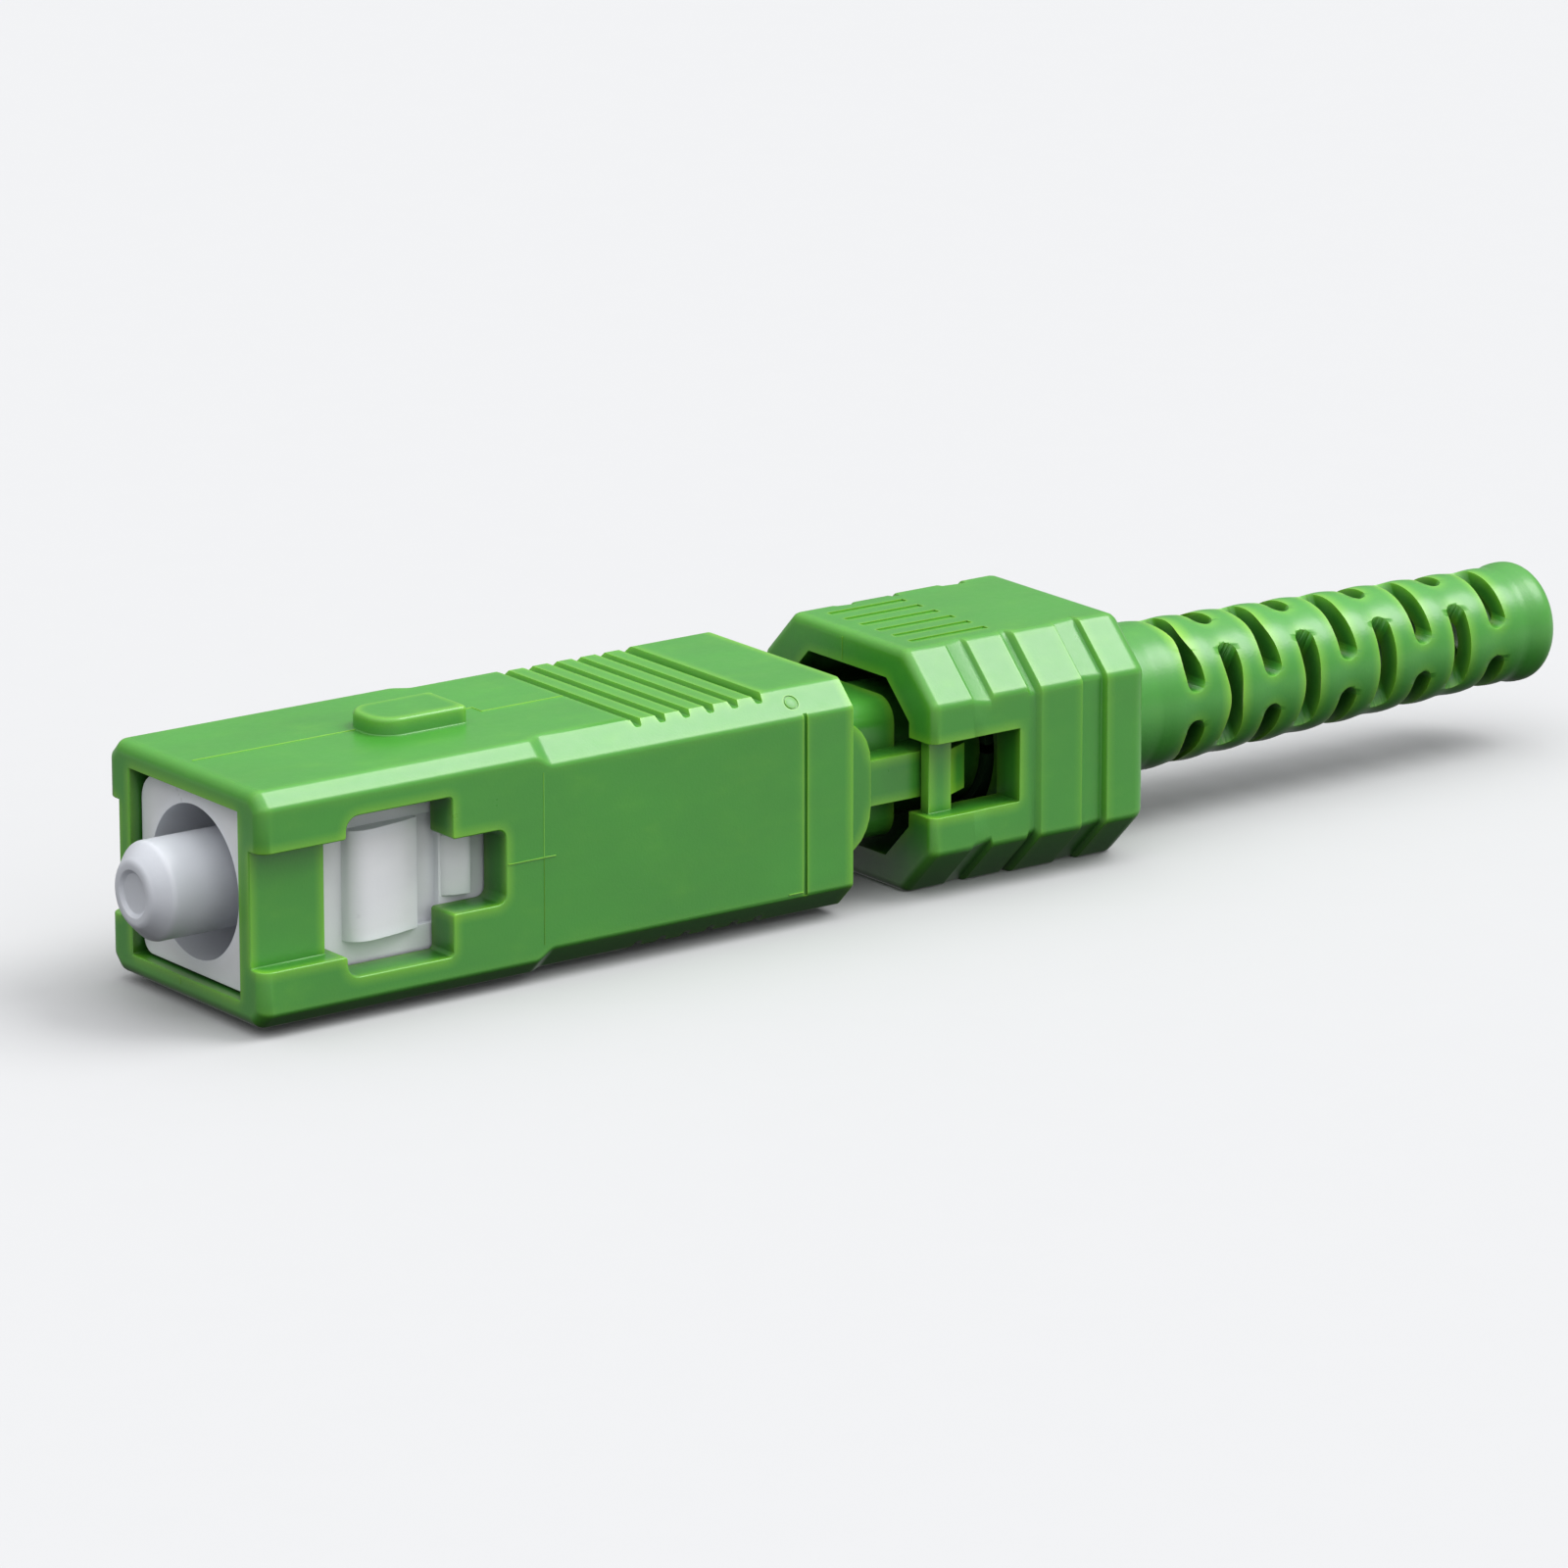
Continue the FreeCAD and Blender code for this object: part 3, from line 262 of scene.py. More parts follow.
def finish_mesh(piece):
    """Leave edit mode with the piece's place in its mesh."""
    bpy.ops.object.mode_set(mode="OBJECT")
    return settle(piece)


def settle(piece):
    """Move a placed object's place into its mesh."""
    only(piece)
    bpy.ops.object.transform_apply(location=True, rotation=True, scale=True)
    return piece


def prism(name, points, move):
    """A solid swept from a flat outline along a straight move."""
    piece = outline(name, points)
    bpy.ops.mesh.extrude_region_move(TRANSFORM_OT_translate={"value": Vector(move) * MM})
    tidy_mesh()
    return finish_mesh(piece)


def loft(name, sections):
    """A solid through several outlines that have the same number of points."""
    pieces = []
    for points in sections:
        pieces.append(finish_mesh(outline(name, points, filled=False)))
    piece = joined(pieces)
    bpy.ops.object.mode_set(mode="EDIT")
    bpy.ops.mesh.select_all(action="SELECT")
    bpy.ops.mesh.bridge_edge_loops()
    bpy.ops.mesh.select_all(action="SELECT")
    bpy.ops.mesh.fill_holes(sides=0)
    tidy_mesh()
    return finish_mesh(piece)


def lathe(name, profile, closed=True, steps=128):
    """A solid turned round the X axis from a profile of (x, radius)."""
    points = [(x, 0, r) for x, r in profile]
    if closed:
        piece = outline(name, points, filled=False)
    else:
        piece = start_vertex(name, points[0])
        draw(points)
    bpy.ops.mesh.select_all(action="SELECT")
    bpy.ops.mesh.spin(steps=steps, angle=2 * math.pi, center=(0, 0, 0), axis=(1, 0, 0))
    tidy_mesh()
    return finish_mesh(piece)


def joined(pieces):
    """Several objects made one."""
    only(pieces[0])
    for piece in pieces:
        piece.select_set(True)
    bpy.ops.object.join()
    return pieces[0]


def block(name, x, y, z):
    """A box between two places on each axis."""
    return prism(name, [(x[0], y[0], z[0]), (x[1], y[0], z[0]), (x[1], y[1], z[0]), (x[0], y[1], z[0])],
                 (0, 0, z[1] - z[0]))


def octagon(x, half_width, half_height, chamfer, radius=0.0):
    """A rectangle at x with its corners cut, and its eight edges rounded."""
    w, h, c = half_width, half_height, chamfer
    corners = [(x, -w, -h + c), (x, -w + c, -h), (x, w - c, -h), (x, w, -h + c),
               (x, w, h - c), (x, w - c, h), (x, -w + c, h), (x, -w, h - c)]
    return eased(corners, [radius] * 8, 3)


def turned(radius, steps):
    """Setbacks and insets along a rounded end."""
    angles = (math.radians(90 * i / steps) for i in range(steps + 1))
    return [(radius * (1 - math.sin(a)), radius * (1 - math.cos(a))) for a in angles]


def rounded(x, half_width, half_height, top, bottom, steps=8):
    """A rectangle at x with round corners, the top pair and the bottom pair each with its own radius."""
    points = []
    for y_side, z_side, radius, first in ((1, -1, bottom, 270), (1, 1, top, 0),
                                          (-1, 1, top, 90), (-1, -1, bottom, 180)):
        for i in range(steps + 1):
            a = math.radians(first + 90 * i / steps)
            points.append((x, y_side * (half_width - radius) + radius * math.cos(a),
                           z_side * (half_height - radius) + radius * math.sin(a)))
    return points


def combine(piece, others, operation="DIFFERENCE"):
    """Cut other solids from a piece, or join them to it, and remove them."""
    for other in others:
        only(piece)
        change = piece.modifiers.new("combine", "BOOLEAN")
        change.operation = operation
        change.object = other
        change.solver = "EXACT"
        bpy.ops.object.modifier_apply(modifier=change.name)
        bpy.data.objects.remove(other)
    return clean(piece)


def clean(piece):
    """Merge the slivers left by cuts, and the flat faces that lie in one plane."""
    only(piece)
    bpy.ops.object.mode_set(mode="EDIT")
    bpy.ops.mesh.select_all(action="SELECT")
    bpy.ops.mesh.remove_doubles(threshold=MERGE)
    bpy.ops.mesh.dissolve_degenerate(threshold=MERGE)
    bpy.ops.mesh.select_all(action="SELECT")
    bpy.ops.mesh.dissolve_limited(angle_limit=math.radians(0.4))
    bpy.ops.mesh.select_all(action="DESELECT")
    bpy.ops.object.mode_set(mode="OBJECT")
    return piece


def copies(piece, count, move):
    """The piece and its copies in a row along a move, as one object."""
    made = [piece]
    for i in range(1, count):
        copy = twin(piece)
        bpy.ops.transform.translate(value=Vector(move) * MM * i)
        made.append(settle(copy))
    return joined(made)


def mirrored(piece, axis):
    """A mirror copy of a solid across the plane through the origin, square to the axis."""
    copy = twin(piece)
    flip = [1, 1, 1]
    flip[axis] = -1
    bpy.ops.object.mode_set(mode="EDIT")
    bpy.ops.mesh.select_all(action="SELECT")
    bpy.ops.transform.resize(value=flip, center_override=(0, 0, 0))
    tidy_mesh()
    return finish_mesh(copy)


def bevel_edges(piece, radius, choose, segments=4):
    """Round the edges whose two ends choose() accepts, in edit mode."""
    only(piece)
    for edge in piece.data.edges:
        a, b = (piece.data.vertices[i].co / MM for i in edge.vertices)
        edge.select = choose(a, b)
    for polygon in piece.data.polygons:
        polygon.select = False
    if not any(edge.select for edge in piece.data.edges):
        raise RuntimeError("no edge to round on " + piece.name)
    bpy.ops.object.mode_set(mode="EDIT")
    bpy.ops.mesh.select_mode(type="EDGE")
    bpy.ops.mesh.bevel(offset=radius * MM, segments=segments, profile=0.5, affect="EDGES")
    bpy.ops.mesh.select_mode(type="VERT")
    tidy_mesh()
    return finish_mesh(piece)


def soften(piece, radius, segments=3, angle=30):
    """Round every sharp edge with a bevel."""
    only(piece)
    edge = piece.modifiers.new("edges", "BEVEL")
    edge.width = radius * MM
    edge.segments = segments
    edge.limit_method = "ANGLE"
    edge.angle_limit = math.radians(angle)
    edge.use_clamp_overlap = True
    bpy.ops.object.modifier_apply(modifier=edge.name)
    return clean(piece)


def smooth(piece):
    """Shade a piece smooth, with flat faces kept flat."""
    only(piece)
    bpy.ops.object.shade_smooth_by_angle(angle=math.radians(40))
    weights = piece.modifiers.new("normals", "WEIGHTED_NORMAL")
    weights.keep_sharp = True
    bpy.ops.object.modifier_apply(modifier=weights.name)
    return piece


def hairline(path, normal, width=0.06, rise=0.025):
    """A raised parting line along a path of points on a flat face whose outward normal is given."""
    normal = Vector(normal).normalized()
    root, crest, narrowing = normal * -0.1, normal * rise, 0.4
    pieces = []
    for start, stop in zip(path, path[1:]):
        start, stop = Vector(start), Vector(stop)
        along = (stop - start).normalized()
        across = along.cross(normal) * width / 2
        start, stop = start - along * width / 2, stop + along * width / 2
        pieces.append(prism("hairline", [start - across + root, start + across + root,
                                         start + across * narrowing + crest,
                                         start - across * narrowing + crest], stop - start))
    return pieces


def place(piece, body, slot_name, *nodes):
    """Give a finished piece its finish, its body and the CAD nodes that it stands for."""
    piece.data.materials.clear()
    piece.data.materials.append(FINISH[slot_name])
    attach(piece, body)
    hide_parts(*nodes)


def eased(points, radii, steps=6):
    """A flat outline whose corners are rounded, each by its own radius; 0 leaves a corner sharp."""
    made = []
    count = len(points)
    for i, (point, radius) in enumerate(zip(points, radii)):
        here = Vector(point)
        if radius <= 0:
            made.append(tuple(here))
            continue
        before = (Vector(points[i - 1]) - here).normalized()
        after = (Vector(points[(i + 1) % count]) - here).normalized()
        half = before.angle(after) / 2
        centre = here + (before + after).normalized() * (radius / math.sin(half))
        first = here + before * (radius / math.tan(half)) - centre
        last = here + after * (radius / math.tan(half)) - centre
        sweep = first.angle(last)
        for k in range(steps + 1):
            t = k / steps
            arm = (first * math.sin((1 - t) * sweep) + last * math.sin(t * sweep)) / math.sin(sweep)
            made.append(tuple(centre + arm))
    return made


def plan(points, z):
    """Flat (x, y) points at a height."""
    return [(x, y, z) for x, y in points]


def upright(points, y):
    """Upright (x, z) points at a distance to the side."""
    return [(x, y, z) for x, z in points]


def both(half):
    """An outline of pairs from its first half, the rest its mirror image across the first axis."""
    return half + [(x, -other) for x, other in half[::-1]]


def drum(name, start, steps, facets=96):
    """A solid on the X axis from start on, through steps given as (end, radius)."""
    profile = [(start, 0)]
    for end, radius in steps:
        profile += [(start, radius), (end, radius)]
        start = end
    return lathe(name, profile + [(start, 0)], closed=False, steps=facets)


# ---------------------------------------------------------------- shader tools
class Value:
    """A socket in a tree of shader nodes, with operators that add Math nodes."""

    def __init__(self, graph, socket):
        self.graph = graph
        self.socket = socket

    def math(self, operation, first, second):
        return self.graph.node("ShaderNodeMath", {"operation": operation}, {0: first, 1: second})

    def __add__(self, other):
        return self.math("ADD", self, other)

    def __radd__(self, other):
        return self.math("ADD", other, self)

    def __sub__(self, other):
        return self.math("SUBTRACT", self, other)

    def __rsub__(self, other):
        return self.math("SUBTRACT", other, self)

    def __mul__(self, other):
        return self.math("MULTIPLY", self, other)

    def __rmul__(self, other):
        return self.math("MULTIPLY", other, self)

    def __pow__(self, other):
        return self.math("POWER", self, other)


class Graph:
    """A tree of shader nodes."""

    def __init__(self, tree):
        self.tree = tree

    def node(self, kind, settings, sockets, output=0):
        """Add a node: its settings first, then the values or links of its sockets."""
        node = self.tree.nodes.new(kind)
        for key, value in settings.items():
            setattr(node, key, value)
        for key, value in sockets.items():
            if isinstance(value, Value):
                self.tree.links.new(value.socket, node.inputs[key])
            else:
                node.inputs[key].default_value = value
        return Value(self, node.outputs[output])

    def mix(self, amount, first, second):
        """Blend two colours."""
        first, second = [c if isinstance(c, Value) else (*c, 1) for c in (first, second)]
        return self.node("ShaderNodeMix", {"data_type": "RGBA"}, {"Factor": amount, 6: first, 7: second}, 2)


class Finish(Graph):
    """The nodes of one finish, round a Principled shader; its patterns follow the object's own axes."""

    def __init__(self, name, **uniform):
        self.material = bpy.data.materials.new(name)
        self.material.use_nodes = True
        super().__init__(self.material.node_tree)
        self.shader = self.tree.nodes["Principled BSDF"]
        for key, value in uniform.items():
            self.shader.inputs[key.replace("_", " ")].default_value = value
        self.place = self.node("ShaderNodeTexCoord", {}, {}, "Object")

    def noise(self, size, detail=2.0, stretch=None):
        """Soft noise from 0 to 1 whose grains are about size millimetres across."""
        where = self.place
        if stretch:
            where = self.node("ShaderNodeMapping", {}, {"Vector": where, "Scale": stretch})
        return self.node("ShaderNodeTexNoise", {},
                         {"Vector": where, "Scale": 1 / (size * MM), "Detail": detail})

    def thin(self, depth):
        """Mask of the painted edge glow: 1 at sharp outer edges and thin walls, 0 where the piece is solid
        for depth millimetres.
        """
        solid = self.node("ShaderNodeAmbientOcclusion", {"inside": True, "only_local": True, "samples": 8},
                          {"Distance": depth * MM}, "AO")
        return 1 - solid

    def painted_gap_shade(self, reach):
        """Mask of the painted shade in gaps: 1 deep in gaps and holes, 0 where five eighths of the way out is
        open for reach millimetres.
        """
        open_sky = self.node("ShaderNodeAmbientOcclusion", {"samples": 8}, {"Distance": reach * MM}, "AO")
        return 1 - self.node("ShaderNodeMath", {"operation": "MINIMUM"}, {0: open_sky * 1.6, 1: 1.0})

    def bump(self, height, distance):
        """Relief with a depth in millimetres."""
        return self.node("ShaderNodeBump", {},
                         {"Height": height, "Distance": distance * MM, "Strength": 1.0})

    def wear(self, **sockets):
        """Feed the shader's varying sockets."""
        for key, value in sockets.items():
            self.tree.links.new(value.socket, self.shader.inputs[key.replace("_", " ")])
        return self.material


def shade(rgb, factor):
    """A colour made lighter or darker."""
    return tuple(min(1.0, c * factor) for c in rgb)


def moulded(name, rgb, edge, roughness, grain, glow, light_pass, weight, gap_shade):
    """Moulded polymer: drifts of colour and gloss, a rough skin grain millimetres deep, a painted glow on
    sharp edges and thin walls in the edge colour that stands in for light let through, and painted shade in
    gaps, darker by the given factor. Light runs glow millimetres under the skin."""
    finish = Finish(name, Subsurface_Weight=weight, Subsurface_Radius=light_pass, Subsurface_Scale=glow * MM,
                    IOR=1.49, Specular_IOR_Level=0.65)
    drift = finish.noise(5.0, detail=3.0)
    flow = finish.noise(1.4, detail=4.0, stretch=(0.25, 1.0, 1.0))
    tint = finish.mix(drift * 0.6 + flow * 0.4, shade(rgb, 0.78), shade(rgb, 1.2))
    scuff = finish.noise(0.9, detail=5.0, stretch=(0.6, 1.0, 1.0))
    tint = finish.mix(scuff ** 6 * 0.5, tint, shade(edge, 1.1))
    # Painted glow: sharp edges and thin walls lightened towards the edge colour, standing in for light that
    # passes through the plastic.
    tint = finish.mix(finish.thin(0.4) * 1.2, tint, edge)
    # Painted shade: gaps and holes darkened by the given factor, where shade falls between and inside the
    # parts.
    tint = finish.mix(finish.painted_gap_shade(4.0), tint, shade(rgb, gap_shade))
    rough = roughness + (flow - 0.5) * 0.10 + (finish.noise(0.3) - 0.5) * 0.08
    skin = finish.noise(0.09, detail=3.0) * 0.5 + finish.noise(1.0) * 0.5
    return finish.wear(Base_Color=tint, Roughness=rough, Normal=finish.bump(skin, grain))


def drawn_metal(name, rgb, roughness, direction):
    """Bright metal with fine lines along the way it was drawn or turned."""
    metal = Finish(name, Metallic=1.0)
    lines = metal.noise(0.25, detail=3.0, stretch=direction)
    stain = metal.noise(1.5)
    return metal.wear(Base_Color=metal.mix(stain, shade(rgb, 0.88), rgb),
                      Roughness=roughness + (lines - 0.5) * 0.18 + (stain - 0.5) * 0.1,
                      Normal=metal.bump(lines, 0.004))


def make_finishes(colours):
    """All the finishes of the connector, by the name of the record's slot."""
    green, white, cap_white = colours.green, colours.white, colours.cap_white
    # In each moulded finish the second colour is its painted edge glow, and the last factor sets its painted
    # shade in gaps.
    made = {
        "green_plastic": moulded("green_shell", green, colours.green_edge, roughness=0.31, grain=0.006,
                                 glow=0.9, light_pass=GREEN_PASS, weight=0.14, gap_shade=0.1),
        "boot_plastic": moulded("boot_rubber", colours.boot_green, colours.green_edge, roughness=0.33,
                                grain=0.008, glow=0.9, light_pass=GREEN_PASS, weight=0.16, gap_shade=0.1),
        "white_plastic": moulded("white_housing", white, shade(white, 1.1), roughness=0.30, grain=0.005,
                                 glow=0.6, light_pass=WHITE_PASS, weight=0.15, gap_shade=0.8),
        "cap_plastic": moulded("milky_cap", cap_white, shade(cap_white, 1.1), roughness=0.34, grain=0.005,
                               glow=1.0, light_pass=WHITE_PASS, weight=0.3, gap_shade=0.9),
        # Painted shade: the white cable jaws are made near black, standing in for the shade in the sleeve's
        # cavity.
        "jaw_painted_shade": moulded("dark_jaws", (0.012, 0.050, 0.012), (0.020, 0.075, 0.014), roughness=0.5,
                               grain=0.006, glow=0.4, light_pass=(0.5, 1.0, 0.3), weight=0.05, gap_shade=0.5),
        "splice_plastic": moulded("amber_splice", (0.55, 0.47, 0.28), (0.66, 0.58, 0.36), roughness=0.3,
                                  grain=0.003, glow=0.5, light_pass=(1.0, 0.8, 0.5), weight=0.2, gap_shade=0.8),
        "plated_brass": drawn_metal("nickel_plating", (0.62, 0.60, 0.56), 0.24, (0.2, 1.0, 1.0)),
        "spring_steel": drawn_metal("spring_wire", (0.55, 0.56, 0.58), 0.28, (1.0, 0.3, 0.3)),
    }
    # Near-black metal for the jaw ring: painted shade of the sleeve's cavity where the ring sits, under the
    # name black_oxide.
    ring_painted_shade = Finish("black_oxide", Specular_IOR_Level=0.2)
    blotch = ring_painted_shade.noise(0.4, detail=3.0)
    made["black_oxide"] = ring_painted_shade.wear(
        Base_Color=ring_painted_shade.mix(blotch, (0.006, 0.010, 0.006), (0.012, 0.018, 0.011)),
        Roughness=0.55 + blotch * 0.2, Normal=ring_painted_shade.bump(blotch, 0.004))
    ceramic = Finish("zirconia", IOR=2.1, Coat_Weight=0.3, Subsurface_Weight=0.1,
                     Subsurface_Radius=WHITE_PASS, Subsurface_Scale=0.3 * MM)
    polish = ceramic.noise(0.12, stretch=(0.1, 1.0, 1.0))
    made["zirconia"] = ceramic.wear(
        Base_Color=ceramic.mix(polish, (0.80, 0.79, 0.75), (0.86, 0.86, 0.84)),
        Roughness=0.12 + polish * 0.12, Normal=ceramic.bump(polish, 0.001))
    glass = Finish("fibre_glass", Transmission_Weight=0.85, IOR=1.46)
    streak = glass.noise(0.05, stretch=(0.05, 1.0, 1.0))
    made["fibre_glass"] = glass.wear(
        Base_Color=glass.mix(streak, (0.80, 0.88, 0.95), (0.92, 0.96, 1.0)),
        Roughness=0.04 + streak * 0.08, Normal=glass.bump(streak, 0.0005))
    return made


# The finishes by slot, filled by the first operator, and the inner parts that have another finish
# than their slot's: the jaw ring and the cable jaws are near black, painted shade of the sleeve's cavity
# where they sit.
FINISH = {}
OWN_FINISH = {"jaw_ring": "black_oxide", "cable_jaw_upper": "jaw_painted_shade", "cable_jaw_lower": "jaw_painted_shade"}


# ---------------------------------------------------------------- the pieces
class CONNECTOR_OT_finishes(bpy.types.Operator):
    """Make the finishes and give the inner CAD parts theirs"""
    bl_idname = "connector.finishes"
    bl_label = "Finishes"

    def execute(self, context):
        FINISH.update(make_finishes(context.scene.connector_finishes))
        slots = {part["node"]: part["material_slot"] for part in frame["record"]["subparts"]}
        for name, node in frame["nodes"].items():
            node.data.materials.clear()
            node.data.materials.append(FINISH[OWN_FINISH.get(name, slots[name])])
        return {"FINISHED"}


class CONNECTOR_OT_grip(bpy.types.Operator):
    """Push-pull grip with its key, ribs, side channels and latch windows"""
    bl_idname = "connector.grip"
    bl_label = "Grip"

    def execute(self, context):
        s = in_mm(context.scene.connector_grip)
        w, h = GRIP_HALF_WIDTH, GRIP_HALF_HEIGHT

        # Rounded nose, the ramps from the front chamfers to the rear ones, and the rear end.
        sections = [octagon(GRIP_FRONT + back, w - inset, h - inset,
                            s.front_chamfer - inset * (2 - math.sqrt(2)),
                            s.long_round * (1 - 0.6 * inset / s.nose_round))
                    for back, inset in turned(s.nose_round, 6)[::-1]]
        ramp_steps = 8
        for i in range(ramp_steps + 1):
            t = i / ramp_steps
            chamfer = s.front_chamfer + (s.rear_chamfer - s.front_chamfer) * t * t * (3 - 2 * t)
            sections.append(octagon(s.ramp_start + s.ramp_length * t, w, h, chamfer, s.long_round))
        sections.append(octagon(GRIP_REAR, w, h, s.rear_chamfer, s.long_round))
        grip = loft("grip_shell", sections)

        # Polarising key, round in front and sunk into the top wall.
        key_front, key_rear, half_key, key_root = 6.5, 9.75, s.key_width / 2, h - 0.5
        key = prism("grip_key", plan(eased([(key_front, -half_key), (key_rear, -half_key),
                                            (key_rear, half_key), (key_front, half_key)],
                                           [0.85, 0.2, 0.2, 0.85], 12), key_root), (0, 0, KEY_TOP - key_root))
        bevel_edges(key, 0.14, lambda a, b: min(a.z, b.z) > KEY_TOP - 0.01)
        combine(grip, [key], "UNION")

        # Throat round the plug frame and the room for the rear body.
        room_front, room_half, throat_half, throat_rise = 9.6, 3.5, 3.0, 2.95
        throat = block("grip_throat", (GRIP_FRONT - 1, GRIP_REAR + 1), (-throat_half, throat_half),
                       (-throat_rise, throat_rise))
        room = prism("grip_room", octagon(room_front, room_half, throat_rise, 0.6), (GRIP_REAR, 0, 0))
        combine(grip, [throat, room])

        # Channel, bar and T-shaped window in both sides: the T's mouth, wide part and stem, by half height.
        mouth, wide_front, wide_rear, stem_rear = 2.7, 3.1, 6.95, 8.9
        mouth_half, wide_half, stem_half = 1.83, 2.52, 1.18
        channel = block("grip_channel", (GRIP_FRONT - 1, mouth), (w - 0.64, w + 1), (-mouth_half, mouth_half))
        corners = both([(mouth, -mouth_half), (wide_front, -mouth_half), (wide_front, -wide_half),
                        (wide_rear, -wide_half), (wide_rear, -stem_half), (stem_rear, -stem_half)])
        radii = [0, 0.1, 0.45, 0.15, 0.1, 0.3]
        window = prism("grip_window", upright(eased(corners, radii + radii[::-1]), -w - 1), (0, 2 * w + 2, 0))
        combine(grip, [mirrored(channel, 1), channel, window])
        soften(grip, s.edge_round)

        # Finger ribs, top and bottom: a shallow field, grooves in it, and the witness line at the rear.
        ribs, pitch, first_groove, deep = 6, 0.92, 14.23, h - s.rib_depth
        field = prism("rib_field", upright([(13.26, h + 0.4), (13.98, h - 0.08), (18.92, h - 0.08),
                                            (19.76, h + 0.4)], -w - 1), (0, 2 * w + 2, 0))
        slope = [(-0.27, h + 0.2), (-0.13, deep + 0.03), (-0.07, deep)]
        groove = prism("rib_groove", upright([(first_groove + x, z) for x, z in slope] +
                                             [(first_groove - x, z) for x, z in slope[::-1]], -w - 1),
                       (0, 2 * w + 2, 0))
        grooves = copies(groove, ribs, (pitch, 0, 0))
        line = block("grip_line", (20.16, 20.30), (w - 0.08, w + 1), (-h + 0.8, h - 0.7))
        combine(grip, [mirrored(field, 2), mirrored(grooves, 2), field, grooves, mirrored(line, 1), line])

        # Parting lines left by the mould: on the top, round the nose and on the sides.
        y, jog, line_rear = 0.3, 10.8, 13.8
        marks = hairline([(0.6, y, h), (key_front + 0.1, y, h)], (0, 0, 1))
        marks += hairline([(key_rear - 0.05, y, h), (jog, y, h), (jog, -0.22, h), (line_rear, -0.22, h)],
                          (0, 0, 1))
        marks += hairline([(GRIP_FRONT, y, -3.05), (GRIP_FRONT, y, 0.5 - h)], (-1, 0, 0), rise=0.015)
        for side in (1, -1):
            marks += hairline([(stem_rear + 0.1, side * w, 0.05), (10.7, side * w, 0.05)], (0, side, 0))
            marks += hairline([(10.3, side * w, -2.7), (10.3, side * w, 2.7)], (0, side, 0), rise=0.012)
            marks += hairline([(19.6, side * w, -2.77), (20.1, side * w, -2.77)], (0, side, 0))
        combine(grip, marks, "UNION")

        # Ring of an ejector pin in the middle of one rear chamfer.
        sunk, pin_radius, middle = 0.03, 0.21, s.rear_chamfer / 2
        pin = lathe("ejector_pin", [(-sunk, pin_radius), (-sunk, pin_radius + 0.05), (0.1, pin_radius + 0.05),
                                    (0.1, pin_radius)], steps=32)
        outward = Vector((0, -1, 1)).normalized()
        pin.matrix_world = Matrix.Translation(Vector((19.94, -w + middle, h - middle)) * MM) @ (
            outward.to_track_quat("X", "Z").to_matrix().to_4x4())
        settle(pin)
        combine(grip, [pin])
        smooth(soften(grip, 0.04, 2, 65))
        place(grip, "push_pull_grip", "green_plastic", "outer_grip")
        return {"FINISHED"}


class CONNECTOR_OT_plug_frame(bpy.types.Operator):
    """Inner housing with its latch shoulders, bore and chamber"""
    bl_idname = "connector.plug_frame"
    bl_label = "Inner housing"

    def execute(self, context):
        s = in_mm(context.scene.connector_frame)
        w, h = s.width / 2, FRAME_HALF_HEIGHT
        housing = prism("frame_shell", rounded(FRAME_FRONT, w, h, s.top_round, s.bottom_round),
                        (FRAME_REAR - FRAME_FRONT, 0, 0))

        # Latch shoulders that fall towards the rear, a waist, and the tails behind it.
        latch_top, tail_top, rear, tail_front, tail_rear = 1.75, 0.95, 6.4, 7.3, 8.35
        bulge = [(3.75, w), (3.80, w + 0.2), (3.92, w + 0.36), (4.10, w + 0.47), (4.32, LATCH_SIDE),
                 (4.62, LATCH_SIDE), (5.0, w + 0.48), (5.5, w + 0.40), (6.0, w + 0.29), (rear, w + 0.18)]
        latch = prism("latches", plan(both(bulge), -latch_top), (0, 0, 2 * latch_top))
        rise = [(tail_front, w - 0.2), (7.38, w + 0.02), (7.5, w + 0.14), (7.7, w + 0.23), (7.95, w + 0.30),
                (8.15, w + 0.33), (8.27, w + 0.31), (8.33, w + 0.22), (tail_rear, w - 0.2)]
        tails = prism("latch_tails", plan(both(rise), -tail_top), (0, 0, 2 * tail_top))
        waist = block("latch_waist", (rear, tail_front), (w - 0.25, w + 1), (-latch_top, latch_top))
        combine(housing, [latch, tails], "UNION")
        combine(housing, [mirrored(waist, 1), waist])

        # Front bore, the web that stops the flange, the flange's chamber and its key, and the snap window.
        web_front, web_rear, web_bore, chamber_bore = 6.2, 7.0, 1.4, 2.35
        bore = drum("front_bore", FRAME_FRONT - 1, [(web_front, s.bore / 2)])
        web = drum("web_bore", web_front - 0.2, [(web_rear + 0.2, web_bore)])
        chamber = drum("chamber", web_rear, [(FRAME_REAR + 1, chamber_bore)])
        combine(housing, [bore, web, chamber])
        rib = block("flange_key", (web_rear - 0.1, web_rear + 1.5), (-0.35, 0.35), (2.0, 2.79))
        combine(housing, [rib], "UNION")
        combine(housing, [block("snap_window", (11.4, 12.6), (-1, 1), (-h - 1, h + 1))])
        smooth(soften(housing, s.edge_round))
        place(housing, "plug_body", "white_plastic", "plug_frame")
        return {"FINISHED"}


